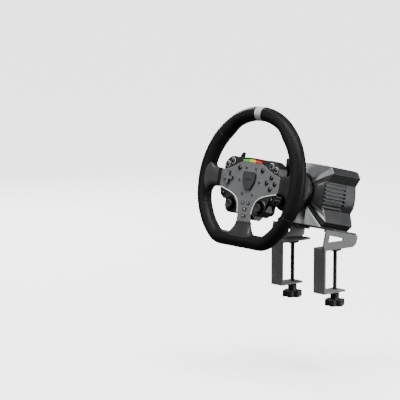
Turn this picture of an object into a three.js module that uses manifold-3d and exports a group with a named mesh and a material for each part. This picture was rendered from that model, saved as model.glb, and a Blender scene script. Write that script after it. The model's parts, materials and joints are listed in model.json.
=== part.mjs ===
// A racing wheel with its motor base and two desk clamps, in millimetres.
// The origin is the desk's top front edge: X across, Y away from the driver, Z up.
// Wheel and base share one group, tilted about X: its X is across, its Y runs along the shaft
// ("depth", 0 at the rim's centre plane) and its Z is the height in the wheel's own plane.
import * as THREE from "three";
import { mergeVertices } from "three/addons/utils/BufferGeometryUtils.js";
import Module from "manifold-3d";

const wasm = await Module();
wasm.setup();

// ---------------------------------------------------------------- driving dimensions
const GAP = 0.3; // clearance between pieces that touch
const SHAFT_TILT = THREE.MathUtils.degToRad(13.1);
const RIM_CENTRE = { y: -124.9, z: 135.4 };

const RIM = {
  outerRadius: 140,
  tubeRadius: 13.4,
  flatCut: 16.5, // how far the flat bottom is cut into the circle
  cornerRadius: 38,
  gripBulge: 5, // extra thickness of the thumb grips, towards the hub
  coreRadius: 4.5,
  markerWidth: 17,
  markerDepth: 1.3,
  steps: 64,
};

const PLATE = {
  front: -3,
  back: 0,
  halfWidth: 80.3,
  sideTop: 14.4,
  sideBottom: -14.7,
  topEdge: 34.6,
  stemHalfWidth: 17.4,
  stemBottom: -75,
};
// Sideways places on the wings are drawn for a plate of this half width, and follow the plate's own.
const DRAWN_HALF_WIDTH = 80.3;
const wing = (PLATE.halfWidth - PLATE.stemHalfWidth) / (DRAWN_HALF_WIDTH - PLATE.stemHalfWidth);
function onWing(x) {
  return PLATE.stemHalfWidth + (x - PLATE.stemHalfWidth) * wing;
}

const BUTTON = {
  radius: 4.4,
  proud: 2.2,
  edge: 0.9, // how far the front edge is rounded in
  flange: 1,
  flangeLip: 1,
  underPlate: 0.4, // from the plate's back to the flange
  underPod: 3, // from a pod's face to the flange
  clearance: 0.4,
  stem: 1.8,
};
const UPPER_BUTTON = { x: onWing(31.2), height: 22.6 };
const DIAMOND = { x: onWing(58), height: 1.3, spread: 10.7 };
const DPAD = {
  x: onWing(57.5),
  height: 1.3,
  reach: 13.4,
  armWidth: 7.4,
  armThickness: 2.6,
  lift: 1.4, // gap between the arms and the plate
  stemRadius: 2.4,
  pivotRadius: 6.5,
  pivotBore: 3.1,
};
const BADGE = {
  thickness: 3,
  topHalf: 15.5,
  sideHalf: 17.3,
  waistHalf: 16.7,
  bottomHalf: 6.8,
  top: 17,
  sideTop: 12,
  sideBottom: 0,
  bottom: -16.8,
};
const LIGHTS = { halfWidth: onWing(26), bottom: 35.1, top: 40.4, endTop: 38.8, front: -3.3, back: 2 };
const TRIM = { width: 1.9, front: -3.5, back: 1.5, joinHeight: -58.7, joinHalf: 1.6 };

const FRAME = {
  webFront: 7,
  webBack: 12,
  spokeBack: 10,
  spokeFrontAtRim: -9,
  sideHalf: 17,
  sideFlare: 9,
  bottomFlare: 14.5,
  bottomBackAtHub: 4.2,
  rootFront: 2.9, // the flat root behind the stem's lowest button
  rootBack: 4.5,
  rootHalf: 14,
  tongueHalf: 6,
};
const BOARD = { front: 4.8, thickness: 1.6, halfWidth: DIAMOND.x + DIAMOND.spread + 4.3 };
const HOUSING = {
  front: 12.3,
  back: 34,
  halfWidth: 39.5,
  top: 40,
  bottom: -34,
  chinHalf: 14,
  chinBottom: -70,
  chinBevel: 6, // the rear lower edge of the chin is cut off
  podFront: -3,
  podBack: 19,
};
const LOWER_POD = {
  front: -2.6,
  back: 15,
  side: onWing(77.4),
  firstGroove: -20.5, // height of the flank's top groove
  groovePitch: 6,
  grooveWidth: 2.6,
};

const STICK = {
  stemRoom: 24, // from the wheel's middle to the bowls' inner sides
  height: -47,
  bowlRadius: 13.4,
  bowlWall: 2.1,
  bowlDepth: 8,
  rimProud: 1.4, // how far the bowl's rim stands out of the lower pod
  throatRadius: 9,
  roomBack: 22,
  barrelRadius: 11.5,
  barrelBack: 27,
  pivotDepth: 8,
  capRadius: 8.6,
  capFront: -11,
  stemRadius: 2.4,
  yokeRadius: 7.6,
  yokeBore: 4.4,
  yokeHalf: 1.5,
};

const PADDLE = {
  thickness: 2.6,
  depth: 28,
  hingeX: 44,
  hingeRadius: 3,
  hingeHalf: 15,
  pinRadius: 1.5,
  pinLength: 4,
  earWidth: 9,
  earHeight: 5,
  earHalfDepth: 4,
};

const ADAPTER = { radius: 29, flangeRadius: 36, flangeBack: 41, back: 99, boreRadius: 20 };
const COLLAR = { radius: 45, innerRadius: 33, front: 97, back: 110.5, sleeveFront: 80, sleeveRadius: 37 };
const HUB = { radius: 31, front: 101, back: 131, spigotRadius: 19, spigotFront: 62 };
const SHAFT = { radius: 10, front: 70, back: 214 };

const BASE = {
  halfWidth: 62,
  top: 56,
  bottom: 60.7,
  front: 150,
  rear: 222,
  boreRadius: 50,
  rearCover: 2.8,
  finFront: 142,
  finRear: 195,
  finTop: 24,
  finBottom: -25,
  finRecess: 5.2, // how far the fins' tips lie inside the half width
  finPitch: 7,
  finGroove: 3.2,
  finDepth: 4.2,
  finCount: 7,
  flankWall: 11.4,
};
const COVER = { neckRadius: 36.5, neckDepth: 134, boreRadius: 33, chinDepth: 118, land: 1, rings: 4 };
const BEARING = { outerRadius: 21, length: 9, frontDepth: 141, rearDepth: 208.5 };
const ROTOR = { radius: 30, front: 160, back: 204 };
const STATOR = { outerRadius: 49.5, innerRadius: 31, front: 158, back: 205.6 };
const DRIVE_BOARD = { innerRadius: 27, outerRadius: 46, thickness: 1.6, depth: 207.2 };
const CONNECTOR = { halfWidth: 28, height: 13, centre: -51, depth: 12, proud: 0.8, socketDepth: 9 };
const SOCKET = { spacing: 16, halfWidth: 6, halfHeight: 4.4, radius: 4.4 };

const MOUNT_PLATE = {
  halfWidth: 73.9,
  noseHalf: 18,
  nose: 116, // depth of the narrow front edge
  shoulder: 163, // depth where the plate has its full width
  rear: 229,
  thickness: 3,
  cornerRadius: 9,
};

const STEEL = 4; // bracket strip thickness
const BRACKET = {
  width: 30.5,
  armLength: 71.35,
  lowerArmLength: 51.85,
  throat: 78.9,
  cheekFront: 143.5,
  cheekRear: 229,
  cheekRearDrop: 15,
  cheekFrontDrop: 32.5,
  flangeWidth: 24,
  flangeFront: 160,
  flangeRear: 222,
};
const WINDOW = [
  [6.2, 15.9],
  [9.6, 28.4],
  [44.6, 19.2],
  [44, 15.4],
];
const CLAMP = {
  screwDepth: 38.05,
  screwRadius: 4,
  screwClearance: 0.35,
  padRadius: 12,
  padThickness: 5,
  knobRadius: 19,
  knobHeight: 12,
  knobLobes: 6,
  hubRadius: 8.6,
  hubHeight: 12,
};

// ---------------------------------------------------------------- worked-out sizes
const rimRadius = RIM.outerRadius - RIM.tubeRadius;
const rimFlat = rimRadius - RIM.flatCut;
const plateUnderside = -(BASE.bottom + GAP + MOUNT_PLATE.thickness);
const tilt = new THREE.Matrix4()
  .makeTranslation(0, RIM_CENTRE.y, RIM_CENTRE.z)
  .multiply(new THREE.Matrix4().makeRotationX(-SHAFT_TILT));

// ---------------------------------------------------------------- materials
function finish(color, roughness, metalness) {
  return new THREE.MeshStandardMaterial({ color, roughness, metalness });
}
const LEATHER = finish(0x1b1b1c, 0.7, 0);
const GREY_LEATHER = finish(0xb9b9b9, 0.7, 0);
const FACE_METAL = finish(0x55575a, 0.5, 0.7);
const BLACK_PLASTIC = finish(0x1c1d1f, 0.55, 0);
const GLOSS_BLACK = finish(0x0c0c0d, 0.25, 0);
const WHITE_TRIM = finish(0xe8e8e8, 0.4, 0);
const LIGHT_BAR = finish(0x9be36a, 0.3, 0);
const CIRCUIT = finish(0x1f5a34, 0.6, 0);
const ANODISED = finish(0x26272a, 0.45, 0.8);
const LIGHT_GREY_METAL = finish(0x8d9094, 0.5, 0.8);
const POWDER_COAT = finish(0x3a3b3d, 0.7, 0.3);
const BRIGHT_STEEL = finish(0xb4b6b8, 0.35, 0.9);
const COPPER = finish(0xb06a3a, 0.5, 0.7);
const RUBBER = finish(0x151515, 0.9, 0);

// ---------------------------------------------------------------- solids
// Turns an extruded profile (Y, Z, thickness) so that its thickness runs along X.
const PROFILE_TO_X = new THREE.Matrix4().set(0, 0, 1, 0, 1, 0, 0, 0, 0, 1, 0, 0, 0, 0, 0, 1);

// A closed geometry as a solid that can be joined and cut.
function solid(geometry) {
  const bare = new THREE.BufferGeometry();
  const loose = geometry.index ? geometry.toNonIndexed() : geometry;
  bare.setAttribute("position", loose.getAttribute("position"));
  const merged = mergeVertices(bare, 1e-3);
  return new wasm.Manifold(
    new wasm.Mesh({
      numProp: 3,
      vertProperties: new Float32Array(merged.attributes.position.array),
      triVerts: new Uint32Array(merged.index.array),
    }),
  );
}

function union(...solids) {
  return solids.reduce((whole, piece) => whole.add(piece));
}

function difference(body, ...cutters) {
  return cutters.reduce((left, cutter) => left.subtract(cutter), body);
}

// A solid as a named mesh with flat-shaded faces.
function piece(name, body, material, parent) {
  const mesh = body.getMesh();
  const positions = new Float32Array(mesh.numVert * 3);
  for (let i = 0; i < mesh.numVert; i++) {
    const at = i * mesh.numProp;
    positions.set(mesh.vertProperties.subarray(at, at + 3), i * 3);
  }
  const geometry = new THREE.BufferGeometry();
  geometry.setAttribute("position", new THREE.BufferAttribute(positions, 3));
  geometry.setIndex(new THREE.BufferAttribute(new Uint32Array(mesh.triVerts), 1));
  const flat = geometry.toNonIndexed();
  flat.computeVertexNormals();
  const result = new THREE.Mesh(flat, material);
  result.name = name;
  parent.add(result);
  return result;
}

function box(x, depth, height) {
  const geometry = new THREE.BoxGeometry(x[1] - x[0], depth[1] - depth[0], height[1] - height[0]);
  geometry.translate((x[0] + x[1]) / 2, (depth[0] + depth[1]) / 2, (height[0] + height[1]) / 2);
  return solid(geometry);
}

// An outline of [x, height] points, drawn anticlockwise, as thick as the depth range.
function prism(outline, depth) {
  const shape = new THREE.Shape(outline.map(([x, height]) => new THREE.Vector2(x, height)));
  const geometry = new THREE.ExtrudeGeometry(shape, { depth: depth[1] - depth[0], bevelEnabled: false });
  geometry.rotateX(Math.PI / 2).translate(0, depth[1], 0);
  return solid(geometry);
}

// A round bar along the depth axis.
function rod(radius, depth, x = 0, height = 0, sides = 24) {
  const geometry = new THREE.CylinderGeometry(radius, radius, depth[1] - depth[0], sides);
  geometry.translate(x, (depth[0] + depth[1]) / 2, height);
  return solid(geometry);
}

// A turned body: its profile is a list of [radius, depth] points from the axis back to the axis.
function turned(profile, x = 0, height = 0, sides = 28) {
  const points = profile.map(([radius, depth]) => new THREE.Vector2(radius, depth));
  const geometry = new THREE.LatheGeometry(points, sides);
  geometry.translate(x, 0, height);
  return solid(geometry);
}

function ring(outerRadius, innerRadius, depth, sides = 28) {
  return difference(
    rod(outerRadius, depth, 0, 0, sides),
    rod(innerRadius, [depth[0] - 1, depth[1] + 1], 0, 0, sides),
  );
}

// The right half of a symmetric outline, listed from the top down, with its mirror image added.
function mirrored(rightHalf) {
  const leftHalf = rightHalf.filter(([x]) => x !== 0).map(([x, height]) => [-x, height]);
  return [...leftHalf, ...[...rightHalf].reverse()];
}

// An anticlockwise outline moved outwards by a distance.
function grown(outline, distance) {
  return outline.map(([x, y], i) => {
    const before = outline[(i + outline.length - 1) % outline.length];
    const after = outline[(i + 1) % outline.length];
    const a = new THREE.Vector2(x - before[0], y - before[1]).normalize();
    const b = new THREE.Vector2(after[0] - x, after[1] - y).normalize();
    const normal = new THREE.Vector2(a.y + b.y, -a.x - b.x).normalize();
    const reach = distance / Math.max(0.5, normal.x * a.y - normal.y * a.x);
    return [x + normal.x * reach, y + normal.y * reach];
  });
}

function smoothRise(value, from, to) {
  return THREE.MathUtils.smoothstep(value, from, to);
}

// ---------------------------------------------------------------- rim
// The rim's centre line, anticlockwise from the right: a circle with a flat bottom and rounded corners.
function rimPath() {
  const corner = Math.min(RIM.cornerRadius, rimFlat * 0.8);
  const cornerHeight = rimFlat - corner;
  const cornerX = Math.sqrt((rimRadius - corner) ** 2 - cornerHeight ** 2);
  const meet = Math.atan2(cornerHeight, cornerX);
  const path = new THREE.Path();
  path.absarc(0, 0, rimRadius, 0, Math.PI + meet);
  path.absarc(-cornerX, -cornerHeight, corner, Math.PI + meet, 1.5 * Math.PI);
  path.lineTo(cornerX, -rimFlat);
  path.absarc(cornerX, -cornerHeight, corner, 1.5 * Math.PI, 2 * Math.PI - meet);
  path.absarc(0, 0, rimRadius, 2 * Math.PI - meet, 2 * Math.PI);
  return path;
}
const RIM_PATH = rimPath();

// Extra thickness of the thumb grips at an angle from the rim's top, in degrees.
function gripBulge(angle) {
  return RIM.gripBulge * smoothRise(angle, 28, 44) * (1 - smoothRise(angle, 98, 112));
}

// A closed ring round the rim's centre line. Its section at each place is an ellipse that reaches
// "extra" past the grip's surface, or a plain circle of the given radius.
function rimRing({ extra = 0, radius = null, sides = 10 }) {
  const geometry = new THREE.TorusGeometry(rimRadius, RIM.tubeRadius, sides, RIM.steps);
  const { position, uv } = geometry.attributes;
  for (let i = 0; i < position.count; i++) {
    const along = uv.getX(i) % 1;
    const around = 2 * Math.PI * (uv.getY(i) % 1);
    const centre = RIM_PATH.getPointAt(along);
    const heading = RIM_PATH.getTangentAt(along);
    const angle = THREE.MathUtils.radToDeg(Math.abs(Math.atan2(centre.x, centre.y)));
    const bulge = radius === null ? gripBulge(angle) : 0;
    const half = radius === null ? RIM.tubeRadius + extra : radius;
    const reach = (half + bulge / 2) * Math.cos(around) - bulge / 2;
    position.setXYZ(
      i,
      centre.x + heading.y * reach,
      -half * Math.sin(around),
      centre.y - heading.x * reach,
    );
  }
  return solid(geometry);
}

function markerSlice(margin) {
  const half = RIM.markerWidth / 2 + margin;
  const reach = RIM.tubeRadius + 10;
  return box([-half, half], [-reach, reach], [rimRadius - reach, rimRadius + reach]);
}

function rimMarker() {
  return rimRing({}).subtract(rimRing({ extra: GAP - RIM.markerDepth })).intersect(markerSlice(0));
}

function rimGrip() {
  const band = rimRing({ extra: 1 }).subtract(rimRing({ extra: -RIM.markerDepth }));
  return difference(rimRing({}), band.intersect(markerSlice(GAP)), frameArms(GAP));
}

// ---------------------------------------------------------------- wheel frame
// A spoke from the hub to the rim's centre line along +X, widening towards the rim.
// It is a box whose vertices are moved by its length share; "swell" grows it all round.
function spoke({ from, half, flare, frontAtHub, frontAtRim, back, swell }) {
  const reach = rimRadius + RIM.coreRadius / 2;
  const geometry = new THREE.BoxGeometry(1, 1, 1, 8, 1, 1);
  const position = geometry.attributes.position;
  for (let i = 0; i < position.count; i++) {
    const share = position.getX(i) + 0.5;
    const end = share === 0 ? -swell : 0;
    const x = from + (reach - from) * share + end;
    const widen = flare * share ** 2;
    const front = THREE.MathUtils.lerp(frontAtHub, frontAtRim, Math.min(1, share * 1.4));
    const depth = position.getY(i) < 0 ? front - swell : back + swell;
    const height = Math.sign(position.getZ(i)) * (half + widen + swell);
    position.setXYZ(i, x, depth, height);
  }
  return geometry;
}

function sideSpoke(side, swell) {
  const geometry = spoke({
    from: PLATE.halfWidth + GAP,
    half: FRAME.sideHalf,
    flare: FRAME.sideFlare,
    frontAtHub: PLATE.front + 0.6,
    frontAtRim: FRAME.spokeFrontAtRim,
    back: FRAME.spokeBack,
    swell,
  });
  if (side < 0) geometry.rotateY(Math.PI).scale(1, -1, 1);
  return solid(side < 0 ? turnedInsideOut(geometry) : geometry);
}

function turnedInsideOut(geometry) {
  const flipped = geometry.toNonIndexed();
  const position = flipped.attributes.position;
  for (let i = 0; i < position.count; i += 3) {
    const corner = [position.getX(i), position.getY(i), position.getZ(i)];
    position.setXYZ(i, position.getX(i + 1), position.getY(i + 1), position.getZ(i + 1));
    position.setXYZ(i + 1, ...corner);
  }
  return flipped;
}

// The spoke from the stem down to the flat of the rim, thin at the hub and as deep as the others below.
function bottomSpoke(swell) {
  const from = -PLATE.stemBottom + 2 * GAP;
  const reach = rimFlat + RIM.coreRadius / 2;
  const geometry = new THREE.BoxGeometry(1, 1, 1, 1, 1, 6);
  const position = geometry.attributes.position;
  for (let i = 0; i < position.count; i++) {
    const share = 0.5 - position.getZ(i);
    const start = share === 0 ? swell : 0;
    const half = PLATE.stemHalfWidth + 1 + FRAME.bottomFlare * share + swell;
    const taper = Math.min(1, share * 1.5);
    const front = THREE.MathUtils.lerp(PLATE.front, FRAME.spokeFrontAtRim, taper);
    const back = THREE.MathUtils.lerp(FRAME.bottomBackAtHub, FRAME.spokeBack, taper);
    const depth = position.getY(i) < 0 ? front - swell : back + swell;
    position.setXYZ(i, Math.sign(position.getX(i)) * half, depth, -(from + (reach - from) * share) + start);
  }
  return solid(geometry);
}

// The core ring and the three spokes, which the grip is moulded round.
function frameArms(swell) {
  return union(
    rimRing({ radius: RIM.coreRadius + swell, sides: 6 }),
    sideSpoke(1, swell),
    sideSpoke(-1, swell),
    bottomSpoke(swell),
  );
}

// The casting that carries everything: the arms, a web behind the circuit board, and the roots that
// join them past the board's edges.
function wheelFrame() {
  const { webFront, webBack, rootFront, rootBack, rootHalf, tongueHalf } = FRAME;
  const stemEnd = PLATE.stemBottom;
  const span = [webFront, webBack];
  const aboveRoot = box([-RIM.outerRadius, RIM.outerRadius], span, [stemEnd + 9, PLATE.topEdge]);
  const web = prism(grown(plateOutline(), -2), span).intersect(aboveRoot);
  const sideRoot = (side) => {
    const inner = side * (BOARD.halfWidth + 1.5);
    const outer = side * (PLATE.halfWidth + 2);
    const half = PLATE.sideTop - 1;
    return box([Math.min(inner, outer), Math.max(inner, outer)], [PLATE.back + 0.4, webBack], [-half, half]);
  };
  const flatRoot = box([-rootHalf, rootHalf], [rootFront, rootBack], [stemEnd - 6, stemEnd + 13]);
  const tongue = box([-tongueHalf, tongueHalf], [rootFront, webBack], [stemEnd + 5, stemEnd + 13]);
  const stickHole = STICK.bowlRadius + STICK.bowlWall + GAP;
  return difference(
    union(frameArms(0), web, sideRoot(1), sideRoot(-1), flatRoot, tongue),
    ...stickPlaces().map(([x, height]) => rod(stickHole, [PLATE.front, STICK.barrelBack], x, height)),
  );
}

// ---------------------------------------------------------------- front plate
// Points along the concave edge between the plate's side and its stem, on the right.
const STEM_CURVE = [
  [onWing(77.5), -15.6],
  [onWing(61), -19.2],
  [onWing(45.2), -23.2],
  [onWing(33.6), -28],
  [onWing(26), -34.2],
  [onWing(21.3), -42],
  [onWing(18.8), -50.5],
];

function plateOutline() {
  return mirrored([
    [0, PLATE.topEdge],
    [onWing(27.5), PLATE.topEdge],
    [onWing(35.5), 31.6],
    [onWing(46), 26],
    [onWing(60), 20],
    [onWing(71), 16.8],
    [PLATE.halfWidth, PLATE.sideTop],
    [PLATE.halfWidth, PLATE.sideBottom],
    ...STEM_CURVE,
    [PLATE.stemHalfWidth, -60],
    [PLATE.stemHalfWidth, PLATE.stemBottom],
  ]);
}

// Every round button on the face plate: name, x and height.
function plateButtons() {
  const { x, height, spread } = DIAMOND;
  return [
    ["upper_button_left", -UPPER_BUTTON.x, UPPER_BUTTON.height],
    ["upper_button_right", UPPER_BUTTON.x, UPPER_BUTTON.height],
    ["diamond_button_top", x, height + spread],
    ["diamond_button_bottom", x, height - spread],
    ["diamond_button_inner", x - spread, height],
    ["diamond_button_outer", x + spread, height],
  ];
}

const POD_BUTTON_PLACES = [
  ["pod_button_inner", onWing(52.9), 33.4],
  ["pod_button_outer", onWing(65.6), 27],
];
const LOWER_BUTTON_PLACE = [onWing(66.2), -28.7];

// Every round button in the rear housing's pods: name, x, height and the pod face's depth.
function podButtons() {
  const upper = POD_BUTTON_PLACES.flatMap(([name, x, height]) => [
    [name + "_left", -x, height, HOUSING.podFront],
    [name + "_right", x, height, HOUSING.podFront],
  ]);
  const [x, height] = LOWER_BUTTON_PLACE;
  return [
    ...upper,
    ["lower_pod_button_left", -x, height, LOWER_POD.front],
    ["lower_pod_button_right", x, height, LOWER_POD.front],
  ];
}

// The flat buttons on the stem: name, x, height, half width and half height.
const FLAT_BUTTONS = [
  ["stem_button_left", -7.7, -40.4, 3.8, 2.4],
  ["stem_button_right", 7.7, -40.4, 3.8, 2.4],
  ["stem_button_upper", 0, -52.2, 5, 2.4],
  ["stem_button_lower", 0, -65, 5, 2.4],
];

function rectangle(x, height, halfWidth, halfHeight) {
  const left = x - halfWidth;
  const right = x + halfWidth;
  const low = height - halfHeight;
  const high = height + halfHeight;
  return [
    [left, low],
    [right, low],
    [right, high],
    [left, high],
  ];
}

function badgeOutline() {
  return mirrored([
    [0, BADGE.top],
    [BADGE.topHalf, BADGE.top],
    [BADGE.sideHalf, BADGE.sideTop],
    [BADGE.waistHalf, BADGE.sideBottom],
    [BADGE.bottomHalf, BADGE.bottom],
  ]);
}

function frontPlate() {
  const through = [PLATE.front - 2, PLATE.back + 2];
  const rounds = plateButtons().map(([, x, height]) =>
    rod(BUTTON.radius + BUTTON.clearance, through, x, height, 12),
  );
  const flats = FLAT_BUTTONS.map(([, x, height, halfWidth, halfHeight]) =>
    prism(rectangle(x, height, halfWidth + BUTTON.clearance, halfHeight + BUTTON.clearance), through),
  );
  const dpadHole = rod(DPAD.armWidth / 2 + 1.6, through, -DPAD.x, DPAD.height, 20);
  return difference(prism(plateOutline(), [PLATE.front, PLATE.back]), ...rounds, ...flats, dpadHole);
}

function badge() {
  return prism(badgeOutline(), [PLATE.front - GAP - BADGE.thickness, PLATE.front - GAP]);
}

// A thin light line outside the plate's stem curve on both sides, joined by a strip behind the plate.
function trimBezel() {
  const span = [TRIM.front, TRIM.back];
  const outer = prism(grown(plateOutline(), BUTTON.clearance + TRIM.width), span);
  const inner = prism(grown(plateOutline(), BUTTON.clearance), [span[0] - 1, span[1] + 1]);
  const lines = outer.subtract(inner);
  const stemX = PLATE.stemHalfWidth - 1;
  const [tipX, tipHeight] = STEM_CURVE[0];
  const low = TRIM.joinHeight - TRIM.joinHalf;
  const kept = union(
    box([stemX, tipX - 1], [-9, 9], [low, tipHeight + 1]),
    box([1 - tipX, -stemX], [-9, 9], [low, tipHeight + 1]),
  );
  const reach = PLATE.stemHalfWidth + BUTTON.clearance + 1;
  const strip = box([-reach, reach], [PLATE.back + GAP, TRIM.back], [low, TRIM.joinHeight + TRIM.joinHalf]);
  return union(lines.intersect(kept), strip);
}

// ---------------------------------------------------------------- rear housing
function upperPodOutline() {
  return mirrored([
    [0, 43.6],
    [16, 43.3],
    [29, 41.8],
    [onWing(37), 42],
    [onWing(51), 43],
    [onWing(59), 41.5],
    [onWing(66.5), 37],
    [onWing(72.5), 30.5],
    [onWing(74), 23],
    [onWing(73.5), 15],
    [40, 15],
  ]);
}

function lowerPodOutline(side) {
  const outline = [
    [15, -59],
    [30, -61],
    [48, -61],
    [56.5, -52],
    [56.5, -39],
    [onWing(64), -38],
    [onWing(73), -32],
    [LOWER_POD.side, -19],
    [LOWER_POD.side, -14],
    [15, -14],
  ];
  return side > 0 ? outline : outline.map(([x, height]) => [-x, height]).reverse();
}

function stickPlaces() {
  const x = STICK.stemRoom + STICK.bowlRadius + STICK.bowlWall;
  return [-1, 1].map((side) => [side * x, STICK.height]);
}

function lightBarOutline(margin) {
  return mirrored([
    [0, LIGHTS.top + margin],
    [LIGHTS.halfWidth / 2, LIGHTS.top - 0.3 + margin],
    [LIGHTS.halfWidth + margin, LIGHTS.endTop + margin],
    [LIGHTS.halfWidth - 0.6 + margin, LIGHTS.bottom - margin],
    [0, LIGHTS.bottom - margin],
  ]);
}

function lightBar() {
  return prism(lightBarOutline(0), [LIGHTS.front, LIGHTS.back]);
}

// A lower pod with three grooves across its outer flank.
function lowerPod(side) {
  const { front, back, grooveWidth, groovePitch, firstGroove } = LOWER_POD;
  const pod = prism(lowerPodOutline(side), [front, back]);
  const grooves = [0, 1, 2].map((index) => {
    const height = firstGroove - index * groovePitch;
    const x = [LOWER_POD.side - 3.6 - index * 1.6, LOWER_POD.side + GAP];
    const range = side > 0 ? x : [-x[1], -x[0]];
    return box(range, [front + 2, back + 1], [height - grooveWidth / 2, height + grooveWidth / 2]);
  });
  return difference(pod, ...grooves);
}

function stickHousing([x, height]) {
  const mouth = LOWER_POD.front - STICK.rimProud;
  const bowl = rod(STICK.bowlRadius + STICK.bowlWall, [mouth, HOUSING.front + 4], x, height, 28);
  const barrel = rod(STICK.barrelRadius, [HOUSING.front, STICK.barrelBack], x, height, 28);
  return union(bowl, barrel);
}

// The bowl that a thumb stick moves in, and the round room behind it for the gimbal yoke.
function stickRoom([x, height]) {
  const mouth = LOWER_POD.front - STICK.rimProud - 1;
  return turned(
    [
      [0, mouth],
      [STICK.bowlRadius, mouth],
      [STICK.bowlRadius, LOWER_POD.front],
      [STICK.throatRadius, LOWER_POD.front + STICK.bowlDepth],
      [STICK.throatRadius, STICK.roomBack],
      [0, STICK.roomBack],
    ],
    x,
    height,
    24,
  );
}

// The stepped hole that a pod button moves in.
function buttonRoom([, x, height, face]) {
  const hole = BUTTON.radius + BUTTON.clearance;
  const seat = hole + BUTTON.flangeLip + BUTTON.clearance;
  const lip = face + BUTTON.underPod - BUTTON.clearance;
  return turned(
    [
      [0, face - 2],
      [hole, face - 2],
      [hole, lip],
      [seat, lip],
      [seat, lip + 8],
      [0, lip + 8],
    ],
    x,
    height,
    12,
  );
}

// A round bar along the paddles' hinge axis on one side.
function hingeBar(side, radius, length) {
  const geometry = new THREE.CylinderGeometry(radius, radius, length, 16);
  geometry.rotateX(Math.PI / 2).translate(side * PADDLE.hingeX, PADDLE.depth, 0);
  return solid(geometry);
}

// The two ears that hold a paddle's hinge pins.
function paddleEars(side) {
  const outer = PADDLE.hingeX + PADDLE.hingeRadius + 1;
  const range = side > 0 ? [outer - PADDLE.earWidth, outer] : [-outer, PADDLE.earWidth - outer];
  const depth = [PADDLE.depth - PADDLE.earHalfDepth, PADDLE.depth + PADDLE.earHalfDepth];
  const inside = PADDLE.hingeHalf + GAP;
  const outside = inside + PADDLE.earHeight;
  return union(box(range, depth, [inside, outside]), box(range, depth, [-outside, -inside]));
}

// The narrow lower end of the housing, behind the plate's stem.
function housingChin() {
  const { front, back, chinHalf, chinBottom, chinBevel, bottom } = HOUSING;
  const profile = [
    [front, chinBottom + 1],
    [front + 1, chinBottom],
    [back - 1 - chinBevel, chinBottom],
    [back - 1, chinBottom + chinBevel],
    [back - 1, bottom + 1],
    [front, bottom + 1],
  ];
  const shape = new THREE.Shape(profile.map(([depth, height]) => new THREE.Vector2(depth, height)));
  const geometry = new THREE.ExtrudeGeometry(shape, { depth: 2 * chinHalf, bevelEnabled: false });
  geometry.translate(0, 0, -chinHalf).applyMatrix4(PROFILE_TO_X);
  return solid(geometry);
}

function rearHousing() {
  const { front, back, halfWidth, top, bottom, podFront, podBack } = HOUSING;
  const shell = union(
    prism(upperPodOutline(), [podFront, podBack]),
    lowerPod(1),
    lowerPod(-1),
    box([-halfWidth, halfWidth], [front, back], [bottom, top]),
    housingChin(),
    ...stickPlaces().map(stickHousing),
    paddleEars(1),
    paddleEars(-1),
  );
  const behindPlate = [podFront - 1, front];
  const plateRoom = prism(grown(plateOutline(), BUTTON.clearance), behindPlate);
  const belowSpokes = box([-RIM.outerRadius, RIM.outerRadius], behindPlate, [-RIM.outerRadius, -14]);
  const trimRoom = prism(grown(plateOutline(), 2 * BUTTON.clearance + TRIM.width), behindPlate);
  const lightRoom = prism(lightBarOutline(GAP), [LIGHTS.front - 1, LIGHTS.back + GAP]);
  const pinRoom = 2 * (PADDLE.hingeHalf + PADDLE.pinLength) + 1;
  return difference(
    shell,
    plateRoom,
    trimRoom.intersect(belowSpokes),
    lightRoom,
    ...stickPlaces().map(stickRoom),
    ...podButtons().map(buttonRoom),
    hingeBar(1, PADDLE.pinRadius + GAP, pinRoom),
    hingeBar(-1, PADDLE.pinRadius + GAP, pinRoom),
  );
}

function circuitBoard() {
  const board = prism(grown(plateOutline(), -2), [BOARD.front, BOARD.front + BOARD.thickness]);
  const half = BOARD.halfWidth;
  const kept = box([-half, half], [PLATE.back, FRAME.webFront], [PLATE.stemBottom + 14, PLATE.topEdge]);
  const stickHole = STICK.bowlRadius + STICK.bowlWall + 1;
  const holes = stickPlaces().map(([x, height]) => rod(stickHole, [PLATE.back, FRAME.webBack], x, height));
  return difference(board.intersect(kept), ...holes);
}

// ---------------------------------------------------------------- controls
// A round push button whose flange under the face keeps it in.
function roundButton([, x, height, face = PLATE.front], flangeDepth) {
  const { radius, edge } = BUTTON;
  const lip = radius + BUTTON.flangeLip;
  const front = face - BUTTON.proud;
  return turned(
    [
      [0, front],
      [radius - edge, front],
      [radius, front + edge],
      [radius, flangeDepth],
      [lip, flangeDepth],
      [lip, flangeDepth + BUTTON.flange],
      [0, flangeDepth + BUTTON.flange + BUTTON.stem],
    ],
    x,
    height,
    12,
  );
}

function flatButton([, x, height, halfWidth, halfHeight]) {
  const front = PLATE.front - BUTTON.proud / 2;
  const under = PLATE.back + BUTTON.underPlate;
  return union(
    prism(rectangle(x, height, halfWidth, halfHeight), [front, under + BUTTON.flange / 2]),
    prism(
      rectangle(x, height, halfWidth + BUTTON.flangeLip, halfHeight + BUTTON.flangeLip),
      [under, under + BUTTON.flange],
    ),
  );
}

// The D-pad: a cross on a short stem that reaches through the plate.
function dpad() {
  const half = DPAD.armWidth / 2;
  const armBack = PLATE.front - DPAD.lift;
  const span = [armBack - DPAD.armThickness, armBack];
  return union(
    prism(rectangle(-DPAD.x, DPAD.height, DPAD.reach, half), span),
    prism(rectangle(-DPAD.x, DPAD.height, half, DPAD.reach), span),
    rod(DPAD.stemRadius, [armBack - 1, BOARD.front - DPAD.lift], -DPAD.x, DPAD.height, 16),
  );
}

function dpadPivot() {
  const span = [PLATE.back + 1, BOARD.front - 1.6];
  const bore = rod(DPAD.pivotBore, [PLATE.back, BOARD.front], -DPAD.x, DPAD.height, 16);
  return rod(DPAD.pivotRadius, span, -DPAD.x, DPAD.height, 20).subtract(bore);
}

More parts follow.
